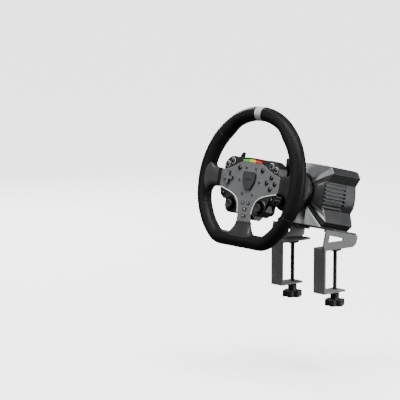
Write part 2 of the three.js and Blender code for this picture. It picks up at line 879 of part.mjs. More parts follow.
function thumbStick([x, height]) {
  const { capRadius, capFront, stemRadius, pivotDepth } = STICK;
  const capBack = capFront + 4;
  return turned(
    [
      [0, capFront + 1.2],
      [capRadius - 2.4, capFront],
      [capRadius, capFront + 1.6],
      [capRadius - 0.8, capBack],
      [stemRadius + 1.2, capBack + 0.8],
      [stemRadius, capBack + 3],
      [stemRadius, pivotDepth + 3],
      [0, pivotDepth + 3],
    ],
    x,
    height,
    20,
  );
}

// The gimbal ring round a thumb stick's stem.
function stickYoke([x, height]) {
  const { pivotDepth, yokeHalf, yokeRadius, yokeBore } = STICK;
  const bore = rod(yokeBore, [pivotDepth - yokeHalf - 1, pivotDepth + yokeHalf + 1], x, height, 16);
  return rod(yokeRadius, [pivotDepth - yokeHalf, pivotDepth + yokeHalf], x, height, 20).subtract(bore);
}

// A shift paddle: a curved wing with a narrow finger tab at its top, on a hinge barrel with two pins.
function shiftPaddle(side) {
  const outline = [
    [PADDLE.hingeX, -11],
    [PADDLE.hingeX + 6, -13],
    [62, -30],
    [78, -38],
    [88, -28],
    [94, -4],
    [92, 14],
    [82, 30],
    [70, 40],
    [67.5, 47],
    [64, 52.6],
    [58.5, 53.4],
    [56.5, 51],
    [58, 31],
    [PADDLE.hingeX + 6, 13],
    [PADDLE.hingeX, 11],
  ];
  const drawn = side > 0 ? outline : outline.map(([x, height]) => [-x, height]).reverse();
  const half = PADDLE.thickness / 2;
  return union(
    prism(drawn, [PADDLE.depth - half, PADDLE.depth + half]),
    hingeBar(side, PADDLE.hingeRadius, 2 * PADDLE.hingeHalf),
    hingeBar(side, PADDLE.pinRadius, 2 * (PADDLE.hingeHalf + PADDLE.pinLength)),
  );
}

// ---------------------------------------------------------------- quick release and shaft
function wheelAdapter() {
  return turned([
    [ADAPTER.boreRadius, ADAPTER.back],
    [ADAPTER.boreRadius, HUB.spigotFront - 2],
    [0, HUB.spigotFront - 2],
    [0, HOUSING.back + GAP],
    [ADAPTER.flangeRadius, HOUSING.back + GAP],
    [ADAPTER.flangeRadius, ADAPTER.flangeBack],
    [ADAPTER.radius, ADAPTER.flangeBack],
    [ADAPTER.radius, ADAPTER.back],
    [ADAPTER.boreRadius, ADAPTER.back],
  ]);
}

function releaseCollar() {
  const inner = ADAPTER.radius + GAP;
  return turned([
    [inner, COLLAR.sleeveFront],
    [COLLAR.sleeveRadius, COLLAR.sleeveFront],
    [COLLAR.sleeveRadius, COLLAR.front],
    [COLLAR.radius - 2, COLLAR.front],
    [COLLAR.radius, COLLAR.front + 2],
    [COLLAR.radius, COLLAR.back],
    [COLLAR.innerRadius, COLLAR.back],
    [COLLAR.innerRadius, ADAPTER.back],
    [inner, ADAPTER.back],
    [inner, COLLAR.sleeveFront],
  ]);
}

function shaftHub() {
  const bore = SHAFT.radius + GAP;
  return turned([
    [bore, HUB.spigotFront],
    [HUB.spigotRadius, HUB.spigotFront],
    [HUB.spigotRadius, HUB.front],
    [HUB.radius, HUB.front],
    [HUB.radius, HUB.back],
    [bore, HUB.back],
    [bore, HUB.spigotFront],
  ]);
}

function motorShaft() {
  return rod(SHAFT.radius, [SHAFT.front, SHAFT.back], 0, 0, 32);
}

function motorRotor() {
  return ring(ROTOR.radius, SHAFT.radius + GAP, [ROTOR.front, ROTOR.back]);
}

function motorStator() {
  return ring(STATOR.outerRadius, STATOR.innerRadius, [STATOR.front, STATOR.back]);
}

function bearing(depth) {
  return ring(BEARING.outerRadius, SHAFT.radius + GAP, [depth, depth + BEARING.length]);
}

// ---------------------------------------------------------------- base
// The base's section as seen along the shaft, from the top centre down the right side.
function baseSection() {
  const { halfWidth, top, bottom } = BASE;
  return mirrored([
    [0, top],
    [halfWidth - 18, top - 1],
    [halfWidth - 9, top - 3],
    [halfWidth, top - 14.2],
    [halfWidth - 8.8, 25],
    [halfWidth - 5.5, 10.9],
    [halfWidth - 4, -4.3],
    [halfWidth - 5, -16],
    [halfWidth - 10.6, -27.3],
    [halfWidth - 5, -39.2],
    [halfWidth - 1, -50.2],
    [halfWidth - 10.8, -bottom],
    [0, -bottom],
  ]);
}

function finGrooves() {
  const deep = BASE.halfWidth - BASE.finRecess - BASE.finDepth;
  const wide = BASE.halfWidth + 5;
  const along = [BASE.finFront - 5, BASE.finRear];
  const cutters = [];
  for (let index = 0; index < BASE.finCount; index++) {
    const middle = BASE.finTop - (index + 0.5) * BASE.finPitch;
    const height = [middle - BASE.finGroove / 2, middle + BASE.finGroove / 2];
    cutters.push(box([deep, wide], along, height), box([-wide, -deep], along, height));
  }
  return cutters;
}

function motorHousing() {
  const rear = BASE.rear - BASE.rearCover - GAP;
  const flank = prism(baseSection(), [BASE.finFront, rear]).intersect(
    box([-BASE.halfWidth, BASE.halfWidth], [BASE.finFront - 1, rear + 1], [BASE.finBottom, BASE.finTop]),
  );
  const flankX = BASE.halfWidth - BASE.flankWall;
  const inFront = [BASE.finFront - 2, BASE.front];
  const cheeks = flank.subtract(box([-flankX, flankX], inFront, [BASE.finBottom - 5, BASE.finTop + 6]));
  const body = union(prism(baseSection(), [BASE.front, rear]), cheeks);
  const noseRoom = rod(BASE.boreRadius, [BASE.finFront - 5, BASE.rear + 5], 0, 0, 48);
  return difference(body, noseRoom, connectorBlock(GAP), ...finGrooves());
}

function connectorBlock(margin) {
  const { halfWidth, height, centre, depth, proud } = CONNECTOR;
  const back = BASE.rear + proud;
  return box(
    [-halfWidth - margin, halfWidth + margin],
    [back - depth - margin, back + 2 * margin],
    [centre - height / 2 - margin, centre + height / 2 + margin],
  );
}

// Three sockets sunk in the connector block: a round power inlet between two plug sockets.
function connectors() {
  const mouth = [BASE.rear + CONNECTOR.proud - CONNECTOR.socketDepth, BASE.rear + 5];
  const plug = (x) => prism(rectangle(x, CONNECTOR.centre, SOCKET.halfWidth, SOCKET.halfHeight), mouth);
  return difference(
    connectorBlock(0),
    rod(SOCKET.radius, mouth, 0, CONNECTOR.centre, 16),
    plug(-SOCKET.spacing),
    plug(SOCKET.spacing),
  );
}

function rearCover() {
  const plate = prism(baseSection(), [BASE.rear - BASE.rearCover, BASE.rear]);
  const seatFront = BEARING.rearDepth - 0.5;
  const boss = rod(BEARING.outerRadius + 4, [seatFront, BASE.rear - BASE.rearCover + 1]);
  const seat = rod(BEARING.outerRadius + GAP, [seatFront - 1, BEARING.rearDepth + BEARING.length + GAP]);
  return difference(union(plate, boss), seat, connectorBlock(GAP));
}

function driveBoard() {
  const { innerRadius, outerRadius, thickness, depth } = DRIVE_BOARD;
  return ring(outerRadius, innerRadius, [depth, depth + thickness]);
}

// The outer edge of the front cover on the right, from the top centre down: x, height and depth.
function coverEdge() {
  const { halfWidth, top, bottom, front, finFront } = BASE;
  const seam = front - GAP - COVER.land;
  const flank = finFront - GAP;
  return [
    [0, top, seam],
    [14, top - 0.4, seam],
    [halfWidth - 18, top - 1, seam],
    [halfWidth - 9, top - 3, seam],
    [halfWidth, top - 14.2, seam],
    [halfWidth - 9, 25.5, seam],
    [halfWidth - BASE.flankWall - 2 * GAP, BASE.finTop, flank],
    [halfWidth - BASE.flankWall - 2 * GAP, BASE.finBottom, flank],
    [halfWidth - 10.9, -27.3, seam],
    [halfWidth - 5, -39.2, seam],
    [halfWidth - 1, -50.2, seam],
    [halfWidth - 10.8, -bottom, seam],
    [halfWidth - 24, -bottom, COVER.chinDepth],
    [0, -bottom, COVER.chinDepth],
  ];
}

// A faceted casting from the round neck out to the base's outline, with a narrow land at the seam.
function frontCover() {
  const half = coverEdge();
  const loop = [...half, ...half.slice(1, -1).reverse().map(([x, height, depth]) => [-x, height, depth])];
  const edge = loop.flatMap((point, i) => {
    const next = loop[(i + 1) % loop.length];
    return Array.from({ length: COVER.rings }, (_, k) =>
      point.map((value, axis) => THREE.MathUtils.lerp(value, next[axis], k / COVER.rings)),
    );
  });
  const neck = edge.map(([x, height]) => {
    const length = Math.hypot(x, height);
    return [(x / length) * COVER.neckRadius, (height / length) * COVER.neckRadius, COVER.neckDepth];
  });
  const rear = edge.map(([x, height]) => [x, height, BASE.front - GAP]);
  const bore = rod(COVER.boreRadius, [COVER.chinDepth - 5, BEARING.frontDepth - GAP]);
  const seat = rod(BEARING.outerRadius + GAP, [COVER.chinDepth, BASE.front + 5]);
  return difference(loft([neck, edge, rear]), bore, seat);
}

// Joins loops with the same number of points, from front to rear, and closes each end with a fan.
function loft(loops) {
  const count = loops[0].length;
  const corners = loops.flat().map(([x, height, depth]) => [x, depth, height]);
  const frontMiddle = corners.length;
  const rearMiddle = frontMiddle + 1;
  const rearStart = (loops.length - 1) * count;
  corners.push([0, loops[0][0][2], 0], [0, loops[loops.length - 1][0][2], 0]);
  const triangles = [];
  for (let i = 0; i < count; i++) {
    const next = (i + 1) % count;
    for (let start = 0; start < rearStart; start += count) {
      const after = start + count;
      triangles.push([start + i, start + next, after + i], [start + next, after + next, after + i]);
    }
    triangles.push([frontMiddle, next, i], [rearMiddle, rearStart + i, rearStart + next]);
  }
  const geometry = new THREE.BufferGeometry();
  geometry.setAttribute("position", new THREE.Float32BufferAttribute(corners.flat(), 3));
  geometry.setIndex(triangles.flat());
  return solid(geometry);
}

// ---------------------------------------------------------------- mount plate and desk clamps
// A flat sheet under the base, narrow in front, with rounded rear corners.
function mountPlate() {
  const { halfWidth, noseHalf, nose, shoulder, rear, thickness, cornerRadius } = MOUNT_PLATE;
  const shape = new THREE.Shape();
  shape.moveTo(-noseHalf, nose);
  shape.lineTo(noseHalf, nose);
  shape.lineTo(halfWidth, shoulder);
  shape.absarc(halfWidth - cornerRadius, rear - cornerRadius, cornerRadius, 0, Math.PI / 2);
  shape.absarc(cornerRadius - halfWidth, rear - cornerRadius, cornerRadius, Math.PI / 2, Math.PI);
  shape.lineTo(-halfWidth, shoulder);
  shape.closePath();
  const sheet = { depth: thickness, bevelEnabled: false, curveSegments: 6 };
  const geometry = new THREE.ExtrudeGeometry(shape, sheet);
  geometry.translate(0, 0, plateUnderside);
  return solid(geometry);
}

// A place of the tilted group, given as depth and height, in the desk's own [y, z].
function atDesk(depth, height) {
  const point = new THREE.Vector3(0, depth, height).applyMatrix4(tilt);
  return [point.y, point.z];
}

// The bracket's strip runs along X from its inner edge to the side plate's outer face.
function bracket(side) {
  const outer = MOUNT_PLATE.halfWidth;
  const inner = outer - BRACKET.width;
  const across = side > 0 ? [inner, outer] : [-outer, -inner];
  const cheekX = side > 0 ? [outer - STEEL, outer] : [-outer, STEEL - outer];
  const arm = box(across, [-STEEL, BRACKET.armLength], [0, STEEL]);
  const leg = box(across, [-STEEL, 0], [-BRACKET.throat - STEEL, STEEL]);
  const lowerArm = box(across, [-STEEL, BRACKET.lowerArmLength], [-BRACKET.throat - STEEL, -BRACKET.throat]);
  return difference(
    union(arm, leg, lowerArm, cheek(cheekX), topFlange(side)),
    screwHole(side),
  );
}

// The upright side plate in the YZ plane, with its long triangular window.
function cheek(x) {
  const under = plateUnderside - GAP;
  const { cheekFront, cheekRear, cheekFrontDrop, cheekRearDrop, armLength } = BRACKET;
  const outline = [
    [-STEEL, 0],
    [armLength, 0],
    atDesk(cheekRear, under - cheekRearDrop),
    atDesk(cheekRear, under),
    atDesk(cheekFront, under),
    atDesk(cheekFront, under - cheekFrontDrop),
  ];
  const slab = (points, range) => {
    const shape = new THREE.Shape(points.map(([y, z]) => new THREE.Vector2(y, z)));
    const geometry = new THREE.ExtrudeGeometry(shape, { depth: range[1] - range[0], bevelEnabled: false });
    geometry.translate(0, 0, range[0]).applyMatrix4(PROFILE_TO_X);
    return solid(geometry);
  };
  return slab(outline, x).subtract(slab([...WINDOW].reverse(), [x[0] - 1, x[1] + 1]));
}

// The flange that is bent in under the mount plate and screwed to it.
function topFlange(side) {
  const outer = MOUNT_PLATE.halfWidth;
  const inner = outer - BRACKET.flangeWidth;
  const x = side > 0 ? [inner, outer] : [-outer, -inner];
  const top = plateUnderside - GAP;
  const geometry = new THREE.BoxGeometry(x[1] - x[0], BRACKET.flangeRear - BRACKET.flangeFront, STEEL);
  geometry.translate((x[0] + x[1]) / 2, (BRACKET.flangeRear + BRACKET.flangeFront) / 2, top - STEEL / 2);
  geometry.applyMatrix4(tilt);
  return solid(geometry);
}

function screwX(side) {
  return side * (MOUNT_PLATE.halfWidth - BRACKET.width / 2);
}

// A round bar that stands on Z.
function post(radius, z, side, sides = 24) {
  const geometry = new THREE.CylinderGeometry(radius, radius, z[1] - z[0], sides);
  geometry.rotateX(Math.PI / 2).translate(screwX(side), CLAMP.screwDepth, (z[0] + z[1]) / 2);
  return solid(geometry);
}

function screwHole(side) {
  return post(CLAMP.screwRadius + CLAMP.screwClearance, [-BRACKET.throat - 20, -BRACKET.throat + 20], side);
}

const padTop = -0.5;
const screwTop = padTop - 2.5;
const knobTop = -BRACKET.throat - STEEL - 3;
const knobBottom = knobTop - CLAMP.hubHeight - CLAMP.knobHeight;

function clampPad(side) {
  const padBottom = padTop - CLAMP.padThickness;
  const disc = post(CLAMP.padRadius, [padBottom, padTop], side, 32);
  return disc.subtract(post(CLAMP.screwRadius + GAP, [padBottom - 1, screwTop + GAP], side));
}

function clampScrew(side) {
  return post(CLAMP.screwRadius, [knobBottom + 4, screwTop], side);
}

// A lobed hand knob under a round hub, pressed on the screw's lower end.
function clampKnob(side) {
  const shape = new THREE.Shape();
  const steps = 8 * CLAMP.knobLobes;
  for (let i = 0; i < steps; i++) {
    const angle = (2 * Math.PI * i) / steps;
    const radius = CLAMP.knobRadius - 1.6 * (1 - Math.cos(CLAMP.knobLobes * angle));
    shape[i ? "lineTo" : "moveTo"](radius * Math.cos(angle), radius * Math.sin(angle));
  }
  const geometry = new THREE.ExtrudeGeometry(shape, { depth: CLAMP.knobHeight, bevelEnabled: false });
  geometry.translate(screwX(side), CLAMP.screwDepth, knobBottom);
  const hub = post(CLAMP.hubRadius, [knobBottom + 1, knobTop], side);
  const socket = post(CLAMP.screwRadius + GAP, [knobBottom + 4 - GAP, knobTop + 1], side);
  return difference(union(solid(geometry), hub), socket);
}

// ---------------------------------------------------------------- assembly
function buildWheel(parent) {
  piece("rim_grip", rimGrip(), LEATHER, parent);
  piece("rim_marker", rimMarker(), GREY_LEATHER, parent);
  piece("wheel_frame", wheelFrame(), BLACK_PLASTIC, parent);
  piece("front_plate", frontPlate(), FACE_METAL, parent);
  piece("centre_badge", badge(), FACE_METAL, parent);
  piece("trim_bezel", trimBezel(), WHITE_TRIM, parent);
  piece("light_bar", lightBar(), LIGHT_BAR, parent);
  piece("rear_housing", rearHousing(), BLACK_PLASTIC, parent);
  piece("circuit_board", circuitBoard(), CIRCUIT, parent);
  piece("dpad", dpad(), GLOSS_BLACK, parent);
  piece("dpad_pivot", dpadPivot(), BLACK_PLASTIC, parent);
  for (const place of plateButtons()) {
    piece(place[0], roundButton(place, PLATE.back + BUTTON.underPlate), GLOSS_BLACK, parent);
  }
  for (const place of podButtons()) {
    piece(place[0], roundButton(place, place[3] + BUTTON.underPod), GLOSS_BLACK, parent);
  }
  for (const place of FLAT_BUTTONS) {
    piece(place[0], flatButton(place), GLOSS_BLACK, parent);
  }
  stickPlaces().forEach((place, index) => {
    const hand = index ? "right" : "left";
    piece("thumb_stick_" + hand, thumbStick(place), RUBBER, parent);
    piece("stick_yoke_" + hand, stickYoke(place), BLACK_PLASTIC, parent);
  });
  piece("shift_paddle_left", shiftPaddle(-1), ANODISED, parent);
  piece("shift_paddle_right", shiftPaddle(1), ANODISED, parent);
  piece("wheel_adapter", wheelAdapter(), ANODISED, parent);
  piece("release_collar", releaseCollar(), LIGHT_GREY_METAL, parent);
  piece("shaft_hub", shaftHub(), ANODISED, parent);
  piece("motor_shaft", motorShaft(), BRIGHT_STEEL, parent);
  piece("motor_rotor", motorRotor(), BRIGHT_STEEL, parent);
}

function buildBase(parent) {
  piece("motor_housing", motorHousing(), ANODISED, parent);
  piece("front_cover", frontCover(), LIGHT_GREY_METAL, parent);
  piece("rear_cover", rearCover(), ANODISED, parent);
  piece("connector_block", connectors(), BLACK_PLASTIC, parent);
  piece("motor_stator", motorStator(), COPPER, parent);
  piece("drive_board", driveBoard(), CIRCUIT, parent);
  piece("front_bearing", bearing(BEARING.frontDepth), BRIGHT_STEEL, parent);
  piece("rear_bearing", bearing(BEARING.rearDepth), BRIGHT_STEEL, parent);
  piece("mount_plate", mountPlate(), POWDER_COAT, parent);
}

function buildClamps(parent) {
  for (const [hand, side] of [
    ["left", -1],
    ["right", 1],
  ]) {
    piece("clamp_bracket_" + hand, bracket(side), POWDER_COAT, parent);
    piece("clamp_pad_" + hand, clampPad(side), RUBBER, parent);
    piece("clamp_screw_" + hand, clampScrew(side), ANODISED, parent);
    piece("clamp_knob_" + hand, clampKnob(side), BLACK_PLASTIC, parent);
  }
}

const racingWheel = new THREE.Group();
const tilted = new THREE.Group();
tilted.position.set(0, RIM_CENTRE.y, RIM_CENTRE.z);
tilted.rotation.x = -SHAFT_TILT;
racingWheel.add(tilted);
buildWheel(tilted);
buildBase(tilted);
buildClamps(racingWheel);

export default racingWheel;
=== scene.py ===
import json
import math
import bmesh
import bpy
from mathutils import Matrix, Vector
from mathutils.geometry import tessellate_polygon

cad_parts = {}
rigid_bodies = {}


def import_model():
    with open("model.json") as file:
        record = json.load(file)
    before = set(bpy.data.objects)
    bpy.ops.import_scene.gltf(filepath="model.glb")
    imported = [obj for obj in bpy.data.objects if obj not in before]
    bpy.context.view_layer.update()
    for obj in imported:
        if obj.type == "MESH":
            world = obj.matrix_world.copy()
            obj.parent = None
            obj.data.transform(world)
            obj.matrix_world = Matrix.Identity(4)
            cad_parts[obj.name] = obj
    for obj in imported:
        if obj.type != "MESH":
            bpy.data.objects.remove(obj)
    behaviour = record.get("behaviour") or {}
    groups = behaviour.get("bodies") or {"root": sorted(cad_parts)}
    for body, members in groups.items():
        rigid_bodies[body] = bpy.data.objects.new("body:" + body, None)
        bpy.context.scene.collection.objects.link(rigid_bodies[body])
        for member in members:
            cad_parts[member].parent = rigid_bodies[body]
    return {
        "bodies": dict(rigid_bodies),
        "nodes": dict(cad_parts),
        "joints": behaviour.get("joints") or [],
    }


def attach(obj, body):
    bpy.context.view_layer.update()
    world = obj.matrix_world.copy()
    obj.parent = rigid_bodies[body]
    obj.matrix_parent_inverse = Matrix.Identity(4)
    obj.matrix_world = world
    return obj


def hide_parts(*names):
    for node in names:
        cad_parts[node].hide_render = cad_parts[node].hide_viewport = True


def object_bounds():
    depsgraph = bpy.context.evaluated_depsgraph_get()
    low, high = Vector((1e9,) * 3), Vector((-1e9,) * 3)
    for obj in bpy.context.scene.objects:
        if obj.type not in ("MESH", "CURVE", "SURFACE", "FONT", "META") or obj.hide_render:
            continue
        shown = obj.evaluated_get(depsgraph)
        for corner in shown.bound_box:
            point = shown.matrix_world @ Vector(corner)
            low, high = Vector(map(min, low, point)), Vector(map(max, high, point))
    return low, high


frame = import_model()
cad_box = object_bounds()

# ------------------------------------------------------------------ camera, light and floor
# A long lens looks from the driver's right, a little above the shaft. Soft boxes stand at the right,
# the front, the left and overhead, with a hazy sun. The pale floor glows on its own and throws no
# light back at the object, so that undersides stay dark.
camera = bpy.data.objects.new("camera", bpy.data.cameras.new("camera"))
bpy.context.scene.collection.objects.link(camera)
bpy.context.scene.camera = camera
camera.data.sensor_width = 36
camera.data.lens = 172.7
camera.data.clip_end = 200
camera.location = (2.6105, -2.4744, 0.6173)
camera.rotation_euler = Vector((-0.7527, 0.6421, -0.1456)).to_track_quat("-Z", "Y").to_euler()


def soft_box(name, place, target, width, height, power):
    lamp = bpy.data.objects.new(name, bpy.data.lights.new(name, "AREA"))
    bpy.context.scene.collection.objects.link(lamp)
    lamp.data.shape = "RECTANGLE"
    lamp.data.size = width
    lamp.data.size_y = height
    lamp.data.energy = power
    lamp.location = place
    lamp.rotation_euler = (Vector(target) - Vector(place)).to_track_quat("-Z", "Y").to_euler()


object_middle = (cad_box[0] + cad_box[1]) / 2
soft_box("right_soft_box", (2.0, 1.1, 0.4), object_middle, 0.9, 1.6, 50)
soft_box("front_soft_box", (-0.9, -2.4, 1.3), object_middle, 2.0, 1.4, 26)
soft_box("left_soft_box", (-2.3, 0.7, 1.1), object_middle, 0.5, 1.0, 44)
soft_box("top_soft_box", (0.0, -0.8, 2.3), object_middle, 1.0, 0.8, 55)
sun = bpy.data.objects.new("hazy_sun", bpy.data.lights.new("hazy_sun", "SUN"))
bpy.context.scene.collection.objects.link(sun)
sun.data.energy = 3.2
sun.data.angle = math.radians(25)
sun.rotation_euler = Vector((-0.45, 0.1, -0.88)).to_track_quat("-Z", "Y").to_euler()
world = bpy.data.worlds.new("studio")
bpy.context.scene.world = world
world.use_nodes = True
world.node_tree.nodes["Background"].inputs["Color"].default_value = (1, 1, 1, 1)
world.node_tree.nodes["Background"].inputs["Strength"].default_value = 0.12

floor_drop = 0.14
floor_half = 90
floor_glow = 2.0
floor_z = cad_box[0].z - floor_drop
floor_mesh = bpy.data.meshes.new("floor")
floor_mesh.from_pydata(
    [(x * floor_half, y * floor_half, floor_z) for x, y in ((-1, -1), (1, -1), (1, 1), (-1, 1))],
    [],
    [(0, 1, 2, 3)],
)
floor = bpy.data.objects.new("floor", floor_mesh)
bpy.context.scene.collection.objects.link(floor)
floor_paint = bpy.data.materials.new("floor_paint")
floor_paint.use_nodes = True
floor_sockets = floor_paint.node_tree.nodes["Principled BSDF"].inputs
floor_sockets["Base Color"].default_value = (0.93, 0.93, 0.93, 1)
floor_sockets["Roughness"].default_value = 0.9
floor_sockets["Emission Color"].default_value = (1, 1, 1, 1)
floor_sockets["Emission Strength"].default_value = floor_glow
floor_mesh.materials.append(floor_paint)
floor.visible_diffuse = False
floor.visible_glossy = False

# ------------------------------------------------------------------ rim
# The grip is black leather stitched over foam on the frame's core ring. Its lower end is flat, and it
# is thicker at the thumbs. The panels meet in creases, and one seam runs round the inner side.
steering = next(joint for joint in frame["joints"] if joint["name"] == "steering")
shaft = Vector(steering["axis"])
across = Vector((1, 0, 0))
# Millimetres of the wheel: x across, y along the shaft away from the driver, z up in the rim's plane.
WHEEL = (
    Matrix.Translation(Vector(steering["pos_m"]))
    @ Matrix((across, shaft, across.cross(shaft))).transposed().to_4x4()
    @ Matrix.Scale(0.001, 4)
)


def reach(node, place=WHEEL):
    """The lowest and highest corner of a CAD node, in the millimetres of a place."""
    inverse = place.inverted()
    points = [inverse @ vertex.co for vertex in frame["nodes"][node].data.vertices]
    return [Vector([pick(p[i] for p in points) for i in range(3)]) for pick in (min, max)]


def fit(bm, name, material, body, nodes=(), place=WHEEL, crease=40):
    """A mesh drawn in the millimetres of a place becomes a finished piece on its body."""
    bm.transform(place)
    bmesh.ops.recalc_face_normals(bm, faces=bm.faces)
    mesh = bpy.data.meshes.new(name)
    bm.to_mesh(mesh)
    bm.free()
    mesh.materials.append(material)
    mesh.polygons.foreach_set("use_smooth", [True] * len(mesh.polygons))
    mesh.set_sharp_from_angle(angle=math.radians(crease))
    piece = bpy.data.objects.new(name, mesh)
    bpy.context.scene.collection.objects.link(piece)
    weighted = piece.modifiers.new("even_faces", "WEIGHTED_NORMAL")
    weighted.keep_sharp = True
    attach(piece, body)
    if nodes:
        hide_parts(*nodes)
    return piece


def add_node(material, kind, **values):
    """A shader node. Each value is a setting, a socket's number, or the socket that feeds it."""
    node = material.node_tree.nodes.new("ShaderNode" + kind)
    for key, value in values.items():
        if hasattr(node, key):
            setattr(node, key, value)
            continue
        socket = node.inputs[int(key[1:]) if key[1:].isdigit() else key.replace("_", " ")]
        if isinstance(value, bpy.types.NodeSocket):
            material.node_tree.links.new(value, socket)
        else:
            socket.default_value = value
    return node


def finish_of(
    name, color, tint, gloss, grain, relief, metallic=0.0, coat=0.0, edge=None, patch=45, shine=0.5
):
    """A finish whose colour drifts to a tint, whose roughness runs over "gloss", and whose fine
    grain, in millimetres, stands up by "relief" millimetres. "edge" is the colour of edges that
    show wear and a painted highlight, "patch" the scale of the drift and "shine" the strength of
    the mirror part."""
    material = bpy.data.materials.new(name)
    material.use_nodes = True
    links = material.node_tree.links
    shader = material.node_tree.nodes["Principled BSDF"]
    shader.inputs["Metallic"].default_value = metallic
    shader.inputs["Coat Weight"].default_value = coat
    shader.inputs["Specular IOR Level"].default_value = shine
    place = add_node(material, "TexCoord").outputs["Object"]
    cloud = add_node(material, "TexNoise", Vector=place, Scale=patch, Detail=5, Roughness=0.6)
    drift = add_node(material, "MapRange", Value=cloud.outputs[0], i1=0.36, i2=0.66)
    shade = add_node(
        material, "Mix", data_type="RGBA", i0=drift.outputs[0], i6=(*color, 1), i7=(*tint, 1)
    ).outputs[2]
    # Rounded edge faces turn towards the "edge" colour, broken by fine noise: wear, and a painted highlight
    # along the edges.
    if edge:
        wear_and_highlight = add_node(material, "Attribute", attribute_name="edge").outputs["Fac"]
        broken = add_node(material, "TexNoise", Vector=place, Scale=420, Detail=3)
        share = add_node(material, "MapRange", Value=broken.outputs[0], i1=0.3, i2=0.7, i3=0.3, i4=0.6)
        amount = add_node(material, "Math", operation="MULTIPLY", i0=wear_and_highlight, i1=share.outputs[0])
        shade = add_node(
            material, "Mix", data_type="RGBA", i0=amount.outputs[0], i6=shade, i7=(*edge, 1)
        ).outputs[2]
    links.new(shade, shader.inputs["Base Color"])
    fine = add_node(material, "TexNoise", Vector=place, Scale=1000 / grain, Detail=3, Roughness=0.55)
    mixed = add_node(material, "Math", operation="ADD", i0=fine.outputs[0], i1=cloud.outputs[0])
    polish = add_node(
        material, "MapRange", Value=mixed.outputs[0], i1=0.7, i2=1.3, i3=gloss[0], i4=gloss[1]
    )
    links.new(polish.outputs[0], shader.inputs["Roughness"])
    bump = add_node(
        material, "Bump", Height=fine.outputs[0], Strength=0.6, Distance=relief / 1000
    )
    links.new(bump.outputs[0], shader.inputs["Normal"])
    return material


def leather(name, color, tint, gloss, shine):
    """Pebbled leather: small rounded cells over the finish's own grain."""
    material = finish_of(name, color, tint, gloss, grain=0.5, relief=0.03, patch=30, shine=shine)
    bump = material.node_tree.nodes["Bump"]
    place = material.node_tree.nodes["Texture Coordinate"].outputs["Object"]
    cells = add_node(material, "TexVoronoi", feature="SMOOTH_F1", Vector=place, Scale=760, Smoothness=0.6)
    pores = add_node(
        material, "Bump", Height=cells.outputs["Distance"], Strength=0.55, Distance=0.00022, invert=True
    )
    material.node_tree.links.new(pores.outputs[0], bump.inputs["Normal"])
    return material


black_leather = leather("black_leather", (0.008, 0.008, 0.0082), (0.011, 0.011, 0.0113), (0.36, 0.5), 0.08)
grey_leather = leather("grey_leather", (0.42, 0.42, 0.42), (0.52, 0.52, 0.515), (0.45, 0.65), 0.4)

tube_radius = 13.4
outer_radius = reach("rim_grip")[1].x
centre_radius = outer_radius - tube_radius
flat_height = -reach("rim_grip")[0].z - tube_radius
corner_radius = 38
thumb_bulge = 5
marker_half = reach("rim_marker")[1].x
seam_angles = (48, 116)
rim_steps = 1240
tube_steps = 44


def rim_line():
    """Evenly spaced places on the rim's centre line, anticlockwise from the right, as
    (x, height, outward x, outward height)."""
    corner_height = flat_height - corner_radius
    corner_x = math.sqrt((centre_radius - corner_radius) ** 2 - corner_height**2)
    meet = math.atan2(corner_height, corner_x)
    arcs = (
        (0, 0, centre_radius, 0, math.pi + meet),
        (-corner_x, -corner_height, corner_radius, math.pi + meet, 1.5 * math.pi),
        (corner_x, -corner_height, corner_radius, 1.5 * math.pi, 2 * math.pi - meet),
        (0, 0, centre_radius, 2 * math.pi - meet, 2 * math.pi),
    )
    line = []
    for x, height, radius, start, end in arcs:
        count = int((end - start) * radius / 0.25)
        for i in range(count + 1):
            turn = start + (end - start) * i / count
            line.append(Vector((x + radius * math.cos(turn), height + radius * math.sin(turn))))
    lengths = [0.0]
    for before, after in zip(line, line[1:]):
        lengths.append(lengths[-1] + (after - before).length)
    places, at = [], 0
    for i in range(rim_steps):
        goal = lengths[-1] * i / rim_steps
        while lengths[at + 1] < goal:
            at += 1
        heading = (line[at + 1] - line[at]).normalized()
        point = line[at] + heading * (goal - lengths[at])
        places.append((point.x, point.y, heading.y, -heading.x))
    return places


rim_places = rim_line()


def eased(value, start, end):
    share = min(1, max(0, (value - start) / (end - start)))
    return share * share * (3 - 2 * share)


def rim_point(step, around, proud=0.0):
    """A point on the grip's surface: "around" is 0 outside, then towards the driver, then inside."""
    x, height, out_x, out_height = rim_places[step % rim_steps]
    angle = math.degrees(abs(math.atan2(x, height)))
    bulge = thumb_bulge * eased(angle, 28, 44) * (1 - eased(angle, 98, 112))
    half = tube_radius + proud
    away = (half + bulge / 2) * math.cos(around) - bulge / 2
    return Vector((x + out_x * away, -half * math.sin(around), height + out_height * away))


def crease_depth(step, around):
    """How far the leather is drawn in at the marker's edges, the panel creases and the inner seam."""
    x, height = rim_places[step][:2]
    angle = math.degrees(abs(math.atan2(x, height)))
    depth = 0.35 * math.exp(-(((around - math.pi) * tube_radius / 0.9) ** 2))
    for seam in seam_angles:
        depth = max(depth, 0.55 * math.exp(-((math.radians(angle - seam) * centre_radius / 0.8) ** 2)))
    if height > 0:
        depth = max(depth, 1.3 * (1 - eased(abs(x), marker_half + 0.1, marker_half + 1.6)))
    return depth


def tube_mesh(steps, surface, closed):
    """A tube whose rings are given by surface(step, around)."""
    bm = bmesh.new()
    rings = []
    for step in steps:
        turns = [2 * math.pi * k / tube_steps for k in range(tube_steps)]
        rings.append([bm.verts.new(surface(step, around)) for around in turns])
    pairs = list(zip(rings, rings[1:])) + ([(rings[-1], rings[0])] if closed else [])
    for ring, after in pairs:
        for k in range(tube_steps):
            m = (k + 1) % tube_steps
            bm.faces.new((ring[k], ring[m], after[m], after[k]))
    if not closed:
        bm.faces.new(rings[0])
        bm.faces.new(rings[-1])
    return bm


def grip_point(step, around):
    return rim_point(step, around, -crease_depth(step, around))


fit(
    tube_mesh(range(rim_steps), grip_point, True), "leather_grip", black_leather, "wheel",
    ["rim_grip"],
)

